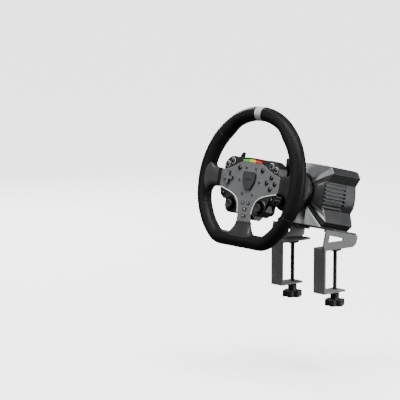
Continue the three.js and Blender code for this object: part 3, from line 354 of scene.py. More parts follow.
# The marker is a band of light grey leather glued into a groove round the top of the grip. Its edges
# are turned down into the groove.
marker_steps = [
    step for step, (x, height, *_) in enumerate(rim_places) if height > 0 and abs(x) < marker_half
]


def marker_point(step, around):
    edge = marker_half - abs(rim_places[step][0])
    return rim_point(step, around, 0.12 - 1.3 * (1 - eased(edge, -0.3, 0.9)))


fit(
    tube_mesh(marker_steps, marker_point, False), "marker_band", grey_leather, "wheel",
    ["rim_marker"],
)


# Waxed thread closes the seam round the grip's inner side: short slanting stitches, evenly spaced.
def node_tree(name, **inputs):
    """An empty geometry node tree with named inputs. Each input is a number or a material."""
    tree = bpy.data.node_groups.new(name, "GeometryNodeTree")
    tree.interface.new_socket("Geometry", in_out="INPUT", socket_type="NodeSocketGeometry")
    tree.interface.new_socket("Geometry", in_out="OUTPUT", socket_type="NodeSocketGeometry")
    for label, kind in inputs.items():
        tree.interface.new_socket(label, in_out="INPUT", socket_type="NodeSocket" + kind)
    return tree, tree.nodes.new("NodeGroupInput"), tree.nodes.new("NodeGroupOutput")


def add_step(tree, kind, **values):
    """A geometry node. Each value is a setting, a socket's value, or the socket that feeds it."""
    node = tree.nodes.new(kind)
    for key, value in values.items():
        if hasattr(node, key):
            setattr(node, key, value)
            continue
        socket = node.inputs[int(key[1:]) if key[1:].isdigit() else key.replace("_", " ")]
        if isinstance(value, bpy.types.NodeSocket):
            tree.links.new(value, socket)
        else:
            socket.default_value = value
    return node


def close_tree(tree, instances, group_in, group_out):
    """Realize Instances and Set Material end every tree."""
    real = add_step(tree, "GeometryNodeRealizeInstances", Geometry=instances)
    painted = add_step(
        tree, "GeometryNodeSetMaterial", Geometry=real.outputs[0], Material=group_in.outputs["Material"]
    )
    tree.links.new(painted.outputs[0], group_out.inputs[0])


def grown_mesh(tree, points, edges, **inputs):
    """The tree's result on a bare mesh of points and edges."""
    mesh = bpy.data.meshes.new(tree.name)
    mesh.from_pydata(points, edges, [])
    carrier = bpy.data.objects.new(tree.name, mesh)
    bpy.context.scene.collection.objects.link(carrier)
    modifier = carrier.modifiers.new(tree.name, "NODES")
    modifier.node_group = tree
    for item in tree.interface.items_tree:
        if item.in_out == "INPUT" and item.name in inputs:
            modifier[item.identifier] = inputs[item.name]
    evaluated = carrier.evaluated_get(bpy.context.evaluated_depsgraph_get())
    result = bpy.data.meshes.new_from_object(evaluated)
    bm = bmesh.new()
    bm.from_mesh(result)
    bpy.data.objects.remove(carrier)
    return bm


def stitch_tree():
    tree, group_in, group_out = node_tree(
        "stitches", Spacing="Float", Length="Float", Thickness="Float", Slant="Float", Material="Material"
    )
    line = add_step(tree, "GeometryNodeMeshToCurve", Mesh=group_in.outputs["Geometry"])
    spaced = add_step(
        tree, "GeometryNodeResampleCurve", mode="LENGTH", Curve=line.outputs[0],
        Length=group_in.outputs["Spacing"],
    )
    bead = add_step(tree, "GeometryNodeMeshIcoSphere", Radius=0.5, Subdivisions=2)
    size = add_step(
        tree, "ShaderNodeCombineXYZ", X=group_in.outputs["Length"], Y=group_in.outputs["Thickness"],
        Z=group_in.outputs["Thickness"],
    )
    along = add_step(tree, "GeometryNodeInputTangent")
    turned = add_step(tree, "FunctionNodeAlignRotationToVector", axis="X", Vector=along.outputs[0])
    lean = add_step(tree, "ShaderNodeCombineXYZ", Z=group_in.outputs["Slant"])
    slanted = add_step(
        tree, "FunctionNodeRotateRotation", rotation_space="LOCAL", i0=turned.outputs[0], i1=lean.outputs[0]
    )
    placed = add_step(
        tree, "GeometryNodeInstanceOnPoints", Points=spaced.outputs[0], Instance=bead.outputs[0],
        Rotation=slanted.outputs[0], Scale=size.outputs[0],
    )
    close_tree(tree, placed.outputs[0], group_in, group_out)
    return tree


thread = finish_of("waxed_thread", (0.05, 0.05, 0.05), (0.09, 0.09, 0.09), (0.5, 0.7), 0.2, 0.05)
stitches = stitch_tree()
seam_line = [rim_point(step, math.pi, -0.05) for step in range(0, rim_steps, 2)]
seam_edges = [(i, (i + 1) % len(seam_line)) for i in range(len(seam_line))]
fit(
    grown_mesh(
        stitches, seam_line, seam_edges, Spacing=4.2, Length=3.4, Thickness=0.75, Slant=0.5,
        Material=thread,
    ),
    "grip_stitches", thread, "wheel",
)
for side in (-1, 1):
    for seam in seam_angles:
        step = min(
            range(rim_steps),
            key=lambda i: abs(math.degrees(math.atan2(rim_places[i][0], rim_places[i][1])) - side * seam),
        )
        ring = [rim_point(step, 2 * math.pi * k / 60, -0.3) for k in range(60)]
        fit(
            grown_mesh(
                stitches, ring, [(k, (k + 1) % 60) for k in range(60)],
                Spacing=3.4, Length=2.4, Thickness=0.6, Slant=0.0, Material=thread,
            ),
            "crease_stitches_%s_%d" % ("left" if side < 0 else "right", seam), thread, "wheel",
        )

# ------------------------------------------------------------------ wheel frame
# One aluminium casting carries the core ring, the two side spokes and the bottom spoke. It is coated
# dark grey, with softly rounded edges. Its spokes sweep into the rim, and the grip covers its ring.
def softened(node, width, angle=28, segments=2, place=WHEEL):
    """A copy of a CAD node in a place's millimetres with its sharp edges rounded. The rounded
    faces carry 1 in the attribute "edge"."""
    bm = bmesh.new()
    bm.from_mesh(frame["nodes"][node].data)
    bm.transform(place.inverted())
    bmesh.ops.remove_doubles(bm, verts=bm.verts, dist=0.01)
    bmesh.ops.dissolve_limit(bm, angle_limit=math.radians(0.8), verts=bm.verts, edges=bm.edges)
    wear_and_highlight = bm.faces.layers.float.new("edge")
    sharp = [
        edge for edge in bm.edges
        if len(edge.link_faces) == 2 and edge.calc_face_angle(0) > math.radians(angle)
    ]
    rounded_off = bmesh.ops.bevel(
        bm, geom=sharp, offset=width, offset_type="OFFSET", segments=segments, profile=0.5,
        affect="EDGES", clamp_overlap=False, miter_outer="ARC", material=-1,
    )
    for face in rounded_off["faces"]:
        face[wear_and_highlight] = 1.0
    return bm


coated_casting = finish_of(
    "coated_casting", (0.016, 0.016, 0.0165), (0.023, 0.023, 0.0235), (0.36, 0.5), 0.6, 0.02,
    edge=(0.03, 0.03, 0.031), shine=0.35,
)
# The hub part ends a little way out along each spoke, inside the swept spokes drawn below.
side_end, bottom_end = 81, 78
hub_part = softened("wheel_frame", 0.8)
for plane, normal in (
    ((side_end, 0, 0), across), ((-side_end, 0, 0), -across), ((0, 0, -bottom_end), (0, 0, -1)),
):
    whole = list(hub_part.verts) + list(hub_part.edges) + list(hub_part.faces)
    bmesh.ops.bisect_plane(hub_part, geom=whole, plane_co=plane, plane_no=normal, clear_outer=True)
bmesh.ops.holes_fill(hub_part, edges=[edge for edge in hub_part.edges if edge.is_boundary])
fit(hub_part, "spoke_casting", coated_casting, "wheel", ["wheel_frame"])


def flowing_spoke(outward, start, end, entry, half, flare, fillet, front, back):
    """A spoke along the "outward" direction. Its half width grows by "flare" over its length and by
    the fillet where it meets the rim at "entry". Its face runs from front[0] to front[1]."""
    out = Vector(outward)
    sideways = Vector((out.z, 0, -out.x))
    corner_power = 0.5
    steps, turns = 48, 56
    bm = bmesh.new()
    rings = []
    for i in range(steps + 1):
        along = start + (end - start) * i / steps
        run = min(fillet, max(0, along - entry + fillet))
        wide = half + flare * i / steps + fillet - math.sqrt(fillet**2 - run**2)
        share = eased(along, start, end)
        face = front[0] + (front[1] - front[0]) * share
        rear = back[0] + (back[1] - back[0]) * share
        ring = []
        for k in range(turns):
            turn = 2 * math.pi * k / turns
            c, s = math.cos(turn), math.sin(turn)
            aside = math.copysign(abs(c) ** corner_power, c) * wide
            depth = (face + rear) / 2 + math.copysign(abs(s) ** corner_power, s) * (rear - face) / 2
            ring.append(bm.verts.new(out * along + sideways * aside + Vector((0, depth, 0))))
        rings.append(ring)
    for ring, after in zip(rings, rings[1:]):
        for k in range(turns):
            m = (k + 1) % turns
            bm.faces.new((ring[k], ring[m], after[m], after[k]))
    bm.faces.new(rings[0])
    bm.faces.new(rings[-1])
    return bm


spoke_back = 10
side_entry = centre_radius - tube_radius - thumb_bulge
for side, hand in ((-1, "left"), (1, "right")):
    fit(
        flowing_spoke(
            (side, 0, 0), 80.7, 124, side_entry, half=16.6, flare=4, fillet=11, front=(-2.6, -12.7),
            back=(spoke_back, spoke_back),
        ),
        "side_spoke_" + hand, coated_casting, "wheel", crease=60,
    )
bottom_entry = flat_height - tube_radius + 2
fit(
    flowing_spoke(
        (0, 0, -1), 74.6, flat_height, bottom_entry, half=17.6, flare=15, fillet=9, front=(-2.9, -12.6),
        back=(4.2, spoke_back),
    ),
    "bottom_spoke", coated_casting, "wheel", crease=60,
)


# ------------------------------------------------------------------ front plate
# The face plate is 3 mm aluminium, blasted and anodised grey. Every control comes through a hole of
# its own with a fine chamfer, and six countersunk screws hold it to the casting.
def moved(outline, distance):
    """A closed anticlockwise outline moved outwards by a distance."""
    result = []
    for i, (x, y) in enumerate(outline):
        before = Vector((x, y)) - Vector(outline[i - 1])
        after = Vector(outline[(i + 1) % len(outline)]) - Vector((x, y))
        before.normalize()
        after.normalize()
        normal = Vector((before.y + after.y, -before.x - after.x)).normalized()
        lean = max(0.5, normal.x * before.y - normal.y * before.x)
        result.append((x + normal.x * distance / lean, y + normal.y * distance / lean))
    return result


def rounded(outline, radius, steps=5):
    """The outline with each corner turned into a short curve."""
    result = []
    for i, corner in enumerate(outline):
        corner = Vector(corner)
        start = Vector(outline[i - 1]) - corner
        end = Vector(outline[(i + 1) % len(outline)]) - corner
        reach_start = min(radius, start.length * 0.45)
        reach_end = min(radius, end.length * 0.45)
        first = corner + start.normalized() * reach_start
        last = corner + end.normalized() * reach_end
        for k in range(steps + 1):
            t = k / steps
            point = first * (1 - t) ** 2 + corner * 2 * t * (1 - t) + last * t**2
            result.append((point.x, point.y))
    return result


def circle(radius, x, y, sides=40):
    turns = [2 * math.pi * k / sides for k in range(sides)]
    return [(x + radius * math.cos(turn), y + radius * math.sin(turn)) for turn in turns]


def both_sides(right_half):
    """A symmetric outline, anticlockwise, from its right half listed from the top down."""
    left_half = [(-x, y) for x, y in right_half if x]
    return left_half + right_half[::-1]


def slab(outer, holes, front, back, chamfer, bm=None):
    """A flat plate across the depth axis with chamfered edges, drawn as (x, height) outlines."""
    bm = bm or bmesh.new()
    wear_and_highlight = bm.faces.layers.float.get("edge") or bm.faces.layers.float.new("edge")
    levels = [(front, chamfer), (front + chamfer, 0), (back - chamfer, 0), (back, chamfer)]
    rows = []
    for depth, inset in levels:
        loops = [moved(outer, -inset)] + [moved(hole, inset) for hole in holes]
        rows.append([[bm.verts.new((x, depth, height)) for x, height in loop] for loop in loops])
    for level, (row, below) in enumerate(zip(rows, rows[1:])):
        for loop, next_loop in zip(row, below):
            for k in range(len(loop)):
                m = (k + 1) % len(loop)
                face = bm.faces.new((loop[k], loop[m], next_loop[m], next_loop[k]))
                face[wear_and_highlight] = 0.0 if level == 1 else 1.0
    for row in (rows[0], rows[-1]):
        flat = [vertex for loop in row for vertex in loop]
        outlines = [[Vector((v.co.x, v.co.z, 0)) for v in loop] for loop in row]
        for corners in tessellate_polygon(outlines):
            bm.faces.new([flat[i] for i in corners])
    return bm


plate_low, plate_high = reach("front_plate")
plate_front, plate_back = plate_low.y, plate_high.y
plate_half, plate_top = plate_high.x, plate_high.z
stem_half, stem_bottom = 17.4, plate_low.z
button_radius = 4.4
hole_gap = 0.4
plate_right_half = [
    (0, plate_top), (27.5, plate_top), (35.5, 31.6), (46, 26), (60, 20), (71, 16.8),
    (plate_half, 14.4), (plate_half, -14.7), (77.5, -15.6), (61, -19.2), (45.2, -23.2),
    (33.6, -28), (26, -34.2), (21.3, -42), (18.8, -50.5), (stem_half, -60), (stem_half, stem_bottom),
]
round_buttons = [name for name in frame["bodies"] if "_button_" in name and not name.startswith("stem_")]
stem_buttons = [name for name in frame["bodies"] if name.startswith("stem_button")]


def middle_of(node, place=WHEEL):
    low, high = reach(node, place)
    return (low + high) / 2


plate_holes = []
for name in round_buttons:
    if "pod" not in name:
        middle = middle_of(name)
        plate_holes.append(circle(button_radius + hole_gap, middle.x, middle.z)[::-1])
button_lip = 1
for name in stem_buttons:
    low, high = reach(name)
    left, right = low.x + button_lip - hole_gap, high.x - button_lip + hole_gap
    bottom, top = low.z + button_lip - hole_gap, high.z - button_lip + hole_gap
    corners = [(left, bottom), (right, bottom), (right, top), (left, top)]
    plate_holes.append(rounded(corners, 1.2, 4)[::-1])
dpad_middle = middle_of("dpad")
plate_holes.append(circle(5.3, dpad_middle.x, dpad_middle.z)[::-1])

anodised_grey = finish_of(
    "anodised_grey", (0.145, 0.149, 0.154), (0.165, 0.169, 0.174), (0.38, 0.48), 0.22, 0.007,
    metallic=0.35, edge=(0.2, 0.205, 0.21),
)
plate_outline = rounded(both_sides(plate_right_half), 2.2, 3)
fit(
    slab(plate_outline, plate_holes, plate_front, plate_back, 0.35),
    "face_plate", anodised_grey, "wheel", ["front_plate"], crease=30,
)


def screw_tree():
    """A countersunk head with a hexagon socket, set on every point with its top towards the driver."""
    tree, group_in, group_out = node_tree(
        "socket_screws", Radius="Float", Height="Float", Socket="Float", Turn="Float", Material="Material"
    )
    rim = add_step(
        tree, "ShaderNodeMath", operation="MULTIPLY", i0=group_in.outputs["Radius"], i1=0.82
    )
    head = add_step(
        tree, "GeometryNodeMeshCone", Vertices=32, Radius_Top=rim.outputs[0],
        Radius_Bottom=group_in.outputs["Radius"], Depth=group_in.outputs["Height"],
    )
    socket = add_step(
        tree, "GeometryNodeMeshCylinder", Vertices=6, Radius=group_in.outputs["Socket"],
        Depth=group_in.outputs["Height"],
    )
    lift = add_step(tree, "ShaderNodeCombineXYZ", Z=group_in.outputs["Height"])
    raised = add_step(
        tree, "GeometryNodeTransform", Geometry=socket.outputs[0], Translation=lift.outputs[0]
    )
    cut = add_step(tree, "GeometryNodeMeshBoolean", operation="DIFFERENCE", i0=head.outputs[0])
    tree.links.new(raised.outputs[0], cut.inputs[1])
    tip = add_step(tree, "ShaderNodeCombineXYZ", X=group_in.outputs["Turn"])
    placed = add_step(
        tree, "GeometryNodeInstanceOnPoints", Points=group_in.outputs["Geometry"],
        Instance=cut.outputs[0], Rotation=tip.outputs[0],
    )
    close_tree(tree, placed.outputs[0], group_in, group_out)
    return tree


socket_screws = screw_tree()
black_oxide = finish_of(
    "black_oxide", (0.017, 0.017, 0.018), (0.03, 0.03, 0.031), (0.26, 0.4), 0.3, 0.01,
    metallic=0.6, edge=(0.2, 0.2, 0.2),
)
dull_steel = finish_of(
    "dull_steel", (0.06, 0.062, 0.064), (0.08, 0.082, 0.084), (0.36, 0.48), 0.25, 0.008,
    metallic=0.5, edge=(0.12, 0.12, 0.122),
)
towards_driver = math.pi / 2
face_screws = [
    (side * x, plate_front - 0.1, height)
    for side in (-1, 1) for x, height in ((12.9, 24.6), (27.2, 0.1), (13.6, -24.0))
]
fit(
    grown_mesh(
        socket_screws, face_screws, [], Radius=3.0, Height=0.9, Socket=1.4, Turn=towards_driver,
        Material=dull_steel,
    ),
    "face_screws", dull_steel, "wheel",
)

# ------------------------------------------------------------------ centre badge
# A raised shield of satin metal stands in the middle of the plate. Its sides are black, a painted
# shade on the side walls, and a thin panel with one plain bar lies on its face.
badge_low, badge_high = reach("centre_badge")
badge_half = badge_high.x
badge_right_half = [
    (0, badge_high.z), (badge_half - 1.8, badge_high.z), (badge_half, badge_high.z - 5),
    (badge_half - 0.6, 0), (6.8, badge_low.z),
]
badge_outline = rounded(both_sides(badge_right_half), 1.6, 4)
panel_rise = 0.25
black_enamel = finish_of(
    "black_enamel", (0.008, 0.008, 0.009), (0.013, 0.013, 0.014), (0.2, 0.32), 0.5, 0.01, coat=0.3
)
badge_satin = finish_of(
    "badge_satin", (0.045, 0.046, 0.048), (0.06, 0.062, 0.064), (0.3, 0.4), 0.3, 0.006,
    metallic=0.4, edge=(0.2, 0.2, 0.2),
)
# The black body shows round the panel as a painted shade on the badge's side walls.
fit(
    slab(badge_outline, [], badge_low.y + panel_rise, badge_high.y, 0.5),
    "badge_body_painted_shade", black_enamel, "wheel", ["centre_badge"], crease=30,
)
panel = slab(moved(badge_outline, -1.1), [], badge_low.y, badge_low.y + panel_rise + 0.2, 0.1)
fit(panel, "badge_panel", badge_satin, "wheel", crease=30)
bar_half, bar_height = 9.0, 1.5
bar = rounded([(-bar_half, 2), (bar_half, 2), (bar_half, 2 + bar_height), (-bar_half, 2 + bar_height)], 0.7)
fit(
    slab(bar, [], badge_low.y - 0.12, badge_low.y + 0.1, 0.05), "badge_bar", black_enamel, "wheel",
    crease=30,
)

# ------------------------------------------------------------------ trim lines
# Two lines of white plastic follow the hollow edges of the plate's stem, joined behind it.
white_plastic = finish_of(
    "white_plastic", (0.72, 0.72, 0.72), (0.78, 0.78, 0.77), (0.3, 0.42), 0.4, 0.008
)
fit(softened("trim_bezel", 0.3), "white_trim", white_plastic, "wheel", ["trim_bezel"])

# ------------------------------------------------------------------ light bar
# The shift lights are one strip of clear moulded lens in three lengths: green, yellow and red. Fine
# ribs inside the lens spread the light.
def lens(name, color, glow):
    tint = tuple(min(1, c * 1.2) for c in color)
    material = finish_of(name, color, tint, (0.12, 0.2), 0.8, 0.01, coat=0.6)
    shader = material.node_tree.nodes["Principled BSDF"]
    shader.inputs["Emission Color"].default_value = (*color, 1)
    shader.inputs["Emission Strength"].default_value = glow
    place = material.node_tree.nodes["Texture Coordinate"].outputs["Object"]
    ribs = add_node(
        material, "TexWave", bands_direction="X", Vector=place, Scale=180, Distortion=0
    )
    bump = add_node(material, "Bump", Height=ribs.outputs["Fac"], Strength=0.5, Distance=0.0002)
    material.node_tree.links.new(bump.outputs[0], material.node_tree.nodes["Bump"].inputs["Normal"])
    return material


lights_low, lights_high = reach("light_bar")
third = lights_high.x / 3
lens_gap = 0.25


def lights_top(x):
    share = abs(x) / lights_high.x
    return lights_high.z - 0.6 * share if share < 0.5 else lights_high.z - 0.3 - (share - 0.5) * 2.6


for name, left, right, color in (
    ("green_lens", lights_low.x, -third, (0.02, 0.45, 0.02)),
    ("yellow_lens", -third, third, (0.75, 0.5, 0.0)),
    ("red_lens", third, lights_high.x, (0.6, 0.0, 0.005)),
):
    left, right = left + lens_gap, right - lens_gap
    tops = [right + (left - right) * k / 6 for k in range(7)]
    outline = [(left, lights_low.z), (right, lights_low.z)] + [(x, lights_top(x)) for x in tops]
    fit(
        slab(rounded(outline, 0.5, 2), [], lights_low.y, lights_high.y, 0.3),
        name, lens(name, color, 0.12), "wheel", ["light_bar"] if name == "green_lens" else (),
        crease=30,
    )

# ------------------------------------------------------------------ rear housing
# The housing behind the plate is moulded in black plastic with a fine spark texture. Its pods hold
# buttons and thumb sticks, and grooves on its flanks give the fingers hold.
def turned(profile, x=0.0, height=0.0, sides=64, ribs=0, rib_depth=0.0, rib_span=(0, 0), bm=None):
    """A body turned about the depth axis from (radius, depth) points. Ribs, if any, notch its
    surface between the two depths of the span."""
    bm = bm or bmesh.new()
    rings = []
    for radius, depth in profile:
        if radius < 1e-6:
            rings.append([bm.verts.new((x, depth, height))])
            continue
        ring = []
        ribbed = rib_span[0] <= depth <= rib_span[1]
        for k in range(sides):
            turn = 2 * math.pi * k / sides
            away = radius - (rib_depth * (0.5 - 0.5 * math.cos(ribs * turn)) if ribbed else 0)
            ring.append(bm.verts.new((x + away * math.cos(turn), depth, height + away * math.sin(turn))))
        rings.append(ring)
    for ring, after in zip(rings, rings[1:]):
        for k in range(sides):
            m = (k + 1) % sides
            near = [ring[k % len(ring)], ring[m % len(ring)]]
            far = [after[m % len(after)], after[k % len(after)]]
            distinct = list(dict.fromkeys(near + far))
            if len(distinct) > 2:
                bm.faces.new(distinct)
    return bm


moulded_black = finish_of(
    "moulded_black", (0.006, 0.006, 0.0065), (0.01, 0.01, 0.0105), (0.34, 0.48), 0.55, 0.035,
    edge=(0.02, 0.02, 0.021), shine=0.4,
)
fit(softened("rear_housing", 0.6), "moulded_housing", moulded_black, "wheel", ["rear_housing"])

# A turned ring lines each stick's bowl, and a thin white ring lies round each upper pod button.
bowl_radius, bowl_wall, bowl_front = 13.4, 2.1, -4.0
satin_black = finish_of(
    "satin_black", (0.004, 0.004, 0.0045), (0.008, 0.008, 0.0085), (0.24, 0.36), 0.4, 0.01, coat=0.1
)
for side in ("left", "right"):
    stick_middle = middle_of("stick_yoke_" + side)
    outer = bowl_radius + bowl_wall + 0.15
    ring = [
        (bowl_radius - 0.15, 2.0), (bowl_radius - 0.15, bowl_front + 0.6),
        (bowl_radius + 0.4, bowl_front - 0.1),
        (outer - 0.6, bowl_front - 0.1), (outer, bowl_front + 0.6), (outer, 2.0),
        (bowl_radius - 0.15, 2.0),
    ]
    fit(
        turned(ring, stick_middle.x, stick_middle.z, 96), "bowl_ring_" + side, satin_black, "wheel",
        crease=35,
    )
    for place in ("inner", "outer"):
        name = "pod_button_%s_%s" % (place, side)
        middle = middle_of(name)
        face = reach(name)[0].y + 2.2
        ring = [
            (4.85, face + 0.3), (4.85, face - 0.15), (5.75, face - 0.15), (5.9, face + 0.3),
            (4.85, face + 0.3),
        ]
        fit(
            turned(ring, middle.x, middle.z, 56), "white_ring_%s_%s" % (place, side), white_plastic,
            "wheel", crease=35,
        )

# ------------------------------------------------------------------ round buttons
# Each round button is a gloss black plastic cap with a rolled edge and a slightly domed top. A
# flange under the face keeps it in.
gloss_black = finish_of(
    "gloss_black", (0.002, 0.002, 0.0022), (0.004, 0.004, 0.0043), (0.07, 0.15), 0.9, 0.004, coat=0.3
)
for name in round_buttons:
    low, high = reach(name)
    middle = middle_of(name)
    front, flange = low.y, high.y - 2.8
    dome = [(button_radius * k / 10, front + 0.35 * (k / 8) ** 2) for k in range(9)]
    profile = dome + [
        (button_radius - 0.4, front + 0.5), (button_radius - 0.12, front + 0.75),
        (button_radius, front + 1.1),
        (button_radius, flange), (button_radius + 1, flange), (button_radius + 1, flange + 1), (0, high.y),
    ]
    fit(
        turned(profile, middle.x, middle.z, 48), name + "_cap", gloss_black, name, [name],
        crease=50,
    )

# ------------------------------------------------------------------ stem buttons
# Four flat keys lie in the plate's stem. Each is a rounded rectangle of gloss black plastic, and a
# small white bar on its face is a painted glint.
for name in stem_buttons:
    low, high = reach(name)
    middle = middle_of(name)
    left, right = low.x + button_lip, high.x - button_lip
    bottom, top = low.z + button_lip, high.z - button_lip
    key = rounded([(left, bottom), (right, bottom), (right, top), (left, top)], 1.0, 4)
    body = slab(key, [], low.y, high.y - 0.5, 0.3)
    base = rounded([(low.x, low.z), (high.x, low.z), (high.x, high.z), (low.x, high.z)], 0.8, 3)
    slab(base, [], high.y - 1.0, high.y, 0.15, body)
    fit(body, name + "_key", gloss_black, name, [name], crease=30)
    # The white bar is a painted glint on the key's face.
    half = (right - left) * 0.3
    line = [
        (middle.x - half, middle.z - 0.5), (middle.x + half, middle.z - 0.5),
        (middle.x + half, middle.z + 0.5), (middle.x - half, middle.z + 0.5),
    ]
    fit(
        slab(rounded(line, 0.25, 2), [], low.y - 0.05, low.y + 0.2, 0.04), name + "_line", white_plastic,
        name, crease=30,
    )

# ------------------------------------------------------------------ D-pad
# A plastic cross rocks on a ball stem behind the plate. It is drawn black, a painted shade on its
# side walls, and a grey cap covers its face, with a short raised line at the end of each arm.
dpad_low, dpad_high = reach("dpad")
arm, half_arm = (dpad_high.x - dpad_low.x) / 2, 3.7
arm_thick = 2.6


def cross(reach_out, half):
    corner = [
        (half, reach_out), (half, half), (reach_out, half), (reach_out, -half), (half, -half),
        (half, -reach_out), (-half, -reach_out), (-half, -half), (-reach_out, -half), (-reach_out, half),
        (-half, half), (-half, reach_out),
    ]
    return [(dpad_middle.x + x, dpad_middle.z + y) for x, y in corner[::-1]]


cap_rise = 0.35
# The cross is black as a painted shade on its side walls; the grey cap lies on its face.
cross_body = slab(
    rounded(cross(arm, half_arm), 1.1, 4), [], dpad_low.y + cap_rise, dpad_low.y + arm_thick, 0.4
)
turned(
    [(0, dpad_low.y + 1), (2.4, dpad_low.y + 1), (2.4, dpad_high.y), (0, dpad_high.y)], dpad_middle.x,
    dpad_middle.z, 32, bm=cross_body,
)
fit(cross_body, "dpad_cross_painted_shade", satin_black, "dpad", ["dpad"], crease=30)
dpad_cap = slab(
    rounded(cross(arm - 0.9, half_arm - 0.9), 0.9, 4), [], dpad_low.y, dpad_low.y + cap_rise + 0.3, 0.15
)
fit(dpad_cap, "dpad_cap", anodised_grey, "dpad", crease=30)
ticks = bmesh.new()
for turn in range(4):
    out = Vector((math.cos(turn * math.pi / 2), math.sin(turn * math.pi / 2)))
    along = Vector((-out.y, out.x))
    at = Vector((dpad_middle.x, dpad_middle.z)) + out * (arm - 3.2)
    quad = [at + along * a * 1.5 + out * b * 0.3 for a, b in ((-1, -1), (-1, 1), (1, 1), (1, -1))]
    slab([(p.x, p.y) for p in quad], [], dpad_low.y - 0.1, dpad_low.y + 0.1, 0.04, ticks)
fit(ticks, "dpad_ticks", satin_black, "dpad", crease=30)

# ------------------------------------------------------------------ thumb sticks
# Each thumb stick is a rubber cap on a plastic stem that leans on a gimbal yoke. The cap's top is
# hollow, and its rim is knurled.
stick_rubber = finish_of(
    "stick_rubber", (0.011, 0.011, 0.0115), (0.017, 0.017, 0.0175), (0.6, 0.8), 0.35, 0.05
)
for side in ("left", "right"):
    name = "thumb_stick_" + side
    low, high = reach(name)
    middle = middle_of(name)
    cap_radius = high.x - middle.x
    front = low.y
    hollow = [((cap_radius - 2.2) * k / 8, front + 1.3 - 1.3 * (k / 8) ** 2) for k in range(9)]
    profile = hollow + [
        (cap_radius - 1.2, front + 0.15), (cap_radius - 0.45, front + 0.6), (cap_radius, front + 1.3),
        (cap_radius, front + 2.0), (cap_radius - 0.15, front + 2.8), (cap_radius - 0.7, front + 3.7),
        (cap_radius - 2.0, front + 4.4), (3.6, front + 4.9), (2.8, front + 6), (2.4, front + 7.2),
        (2.4, high.y), (0, high.y),
    ]
    fit(
        turned(profile, middle.x, middle.z, 240, 60, 0.32, (front + 1.2, front + 3.0)),
        name + "_cap", stick_rubber, name, [name], crease=50,
    )

# ------------------------------------------------------------------ shift paddles
# Two shift paddles of black anodised sheet swing on hinge bars in the housing's ears. Their faces
# show the grain of the rolled sheet.
anodised_black = finish_of(
    "anodised_black", (0.008, 0.008, 0.009), (0.013, 0.013, 0.014), (0.3, 0.42), 0.25, 0.008,
    metallic=0.4, edge=(0.045, 0.045, 0.047),
)
for side in ("left", "right"):
    name = "shift_paddle_" + side
    fit(softened(name, 0.55), "paddle_blade_" + side, anodised_black, "paddle_" + side, [name])

# ------------------------------------------------------------------ quick release
# A turned adapter on the housing's back locks over the shaft hub. The release collar slides on the
# adapter, and fine knurling round its edge gives the fingers hold.
adapter_low, adapter_high = reach("wheel_adapter")
flange_radius, body_radius = adapter_high.x, 29
adapter_front, adapter_back = adapter_low.y, adapter_high.y
fit(
    turned(
        [
            (0, adapter_front), (flange_radius - 0.6, adapter_front), (flange_radius, adapter_front + 0.6),
            (flange_radius, adapter_front + 6.1), (flange_radius - 0.6, adapter_front + 6.7),
            (body_radius + 1.2, adapter_front + 6.7), (body_radius, adapter_front + 8),
            (body_radius, adapter_back - 0.6), (body_radius - 0.6, adapter_back), (20.6, adapter_back),
            (20, adapter_back - 0.6), (20, 60), (0, 60),
        ],
        sides=112,
    ),
    "release_adapter", anodised_black, "wheel", ["wheel_adapter"], crease=35,
)
collar_low, collar_high = reach("release_collar")
collar_radius, collar_bore = collar_high.x, 29.3
collar_front, collar_back = collar_low.y, collar_high.y
collar_metal = finish_of(
    "collar_metal", (0.012, 0.012, 0.013), (0.02, 0.02, 0.021), (0.28, 0.4), 0.25, 0.008,
    metallic=0.4, edge=(0.06, 0.06, 0.062),
)
lip_front = 97
fit(
    turned(
        [
            (collar_bore, collar_front), (36.4, collar_front), (37, collar_front + 0.6),
            (37, lip_front - 1.2),
            (38.2, lip_front), (collar_radius - 2, lip_front), (collar_radius - 0.9, lip_front + 0.5),
            (collar_radius, lip_front + 2), (collar_radius, lip_front + 3),
            (collar_radius, collar_back - 2.5),
            (collar_radius, collar_back - 1.5), (collar_radius - 0.8, collar_back), (33, collar_back),
            (33, 99), (collar_bore, 99), (collar_bore, collar_front),
        ],
        sides=480, ribs=120, rib_depth=0.45, rib_span=(lip_front + 2.5, collar_back - 2),
    ),
    "release_ring", collar_metal, "release_collar", ["release_collar"], crease=35,
)
hub_low, hub_high = reach("shaft_hub")
fit(
    turned(
        [
            (10.3, hub_low.y), (18.2, hub_low.y), (19, hub_low.y + 0.8), (19, 101), (30.4, 101),
            (31, 101.6),
            (31, hub_high.y - 0.6), (30.4, hub_high.y), (10.3, hub_high.y), (10.3, hub_low.y),
        ],
        sides=112,
    ),
    "release_hub", anodised_black, "wheel", ["shaft_hub"], crease=35,
)

# ------------------------------------------------------------------ motor
# Inside the base: a ground shaft in two bearings, a rotor, a wound stator and the drive board.
# They are seen only when the base is taken apart.
def show_as(material, *nodes):
    for node in nodes:
        for slot in frame["nodes"][node].material_slots:
            slot.material = material


ground_steel = finish_of(
    "ground_steel", (0.5, 0.5, 0.51), (0.58, 0.58, 0.59), (0.2, 0.32), 0.15, 0.004, metallic=1.0
)
copper_windings = finish_of(
    "copper_windings", (0.5, 0.21, 0.09), (0.62, 0.3, 0.14), (0.3, 0.5), 1.0, 0.1, metallic=0.9
)
board_lacquer = finish_of(
    "board_lacquer", (0.012, 0.075, 0.03), (0.02, 0.11, 0.045), (0.25, 0.4), 1.6, 0.02, coat=0.3
)
show_as(ground_steel, "motor_shaft", "motor_rotor", "front_bearing", "rear_bearing")
show_as(copper_windings, "motor_stator")
show_as(board_lacquer, "circuit_board", "drive_board")
show_as(satin_black, "dpad_pivot", "stick_yoke_left", "stick_yoke_right")

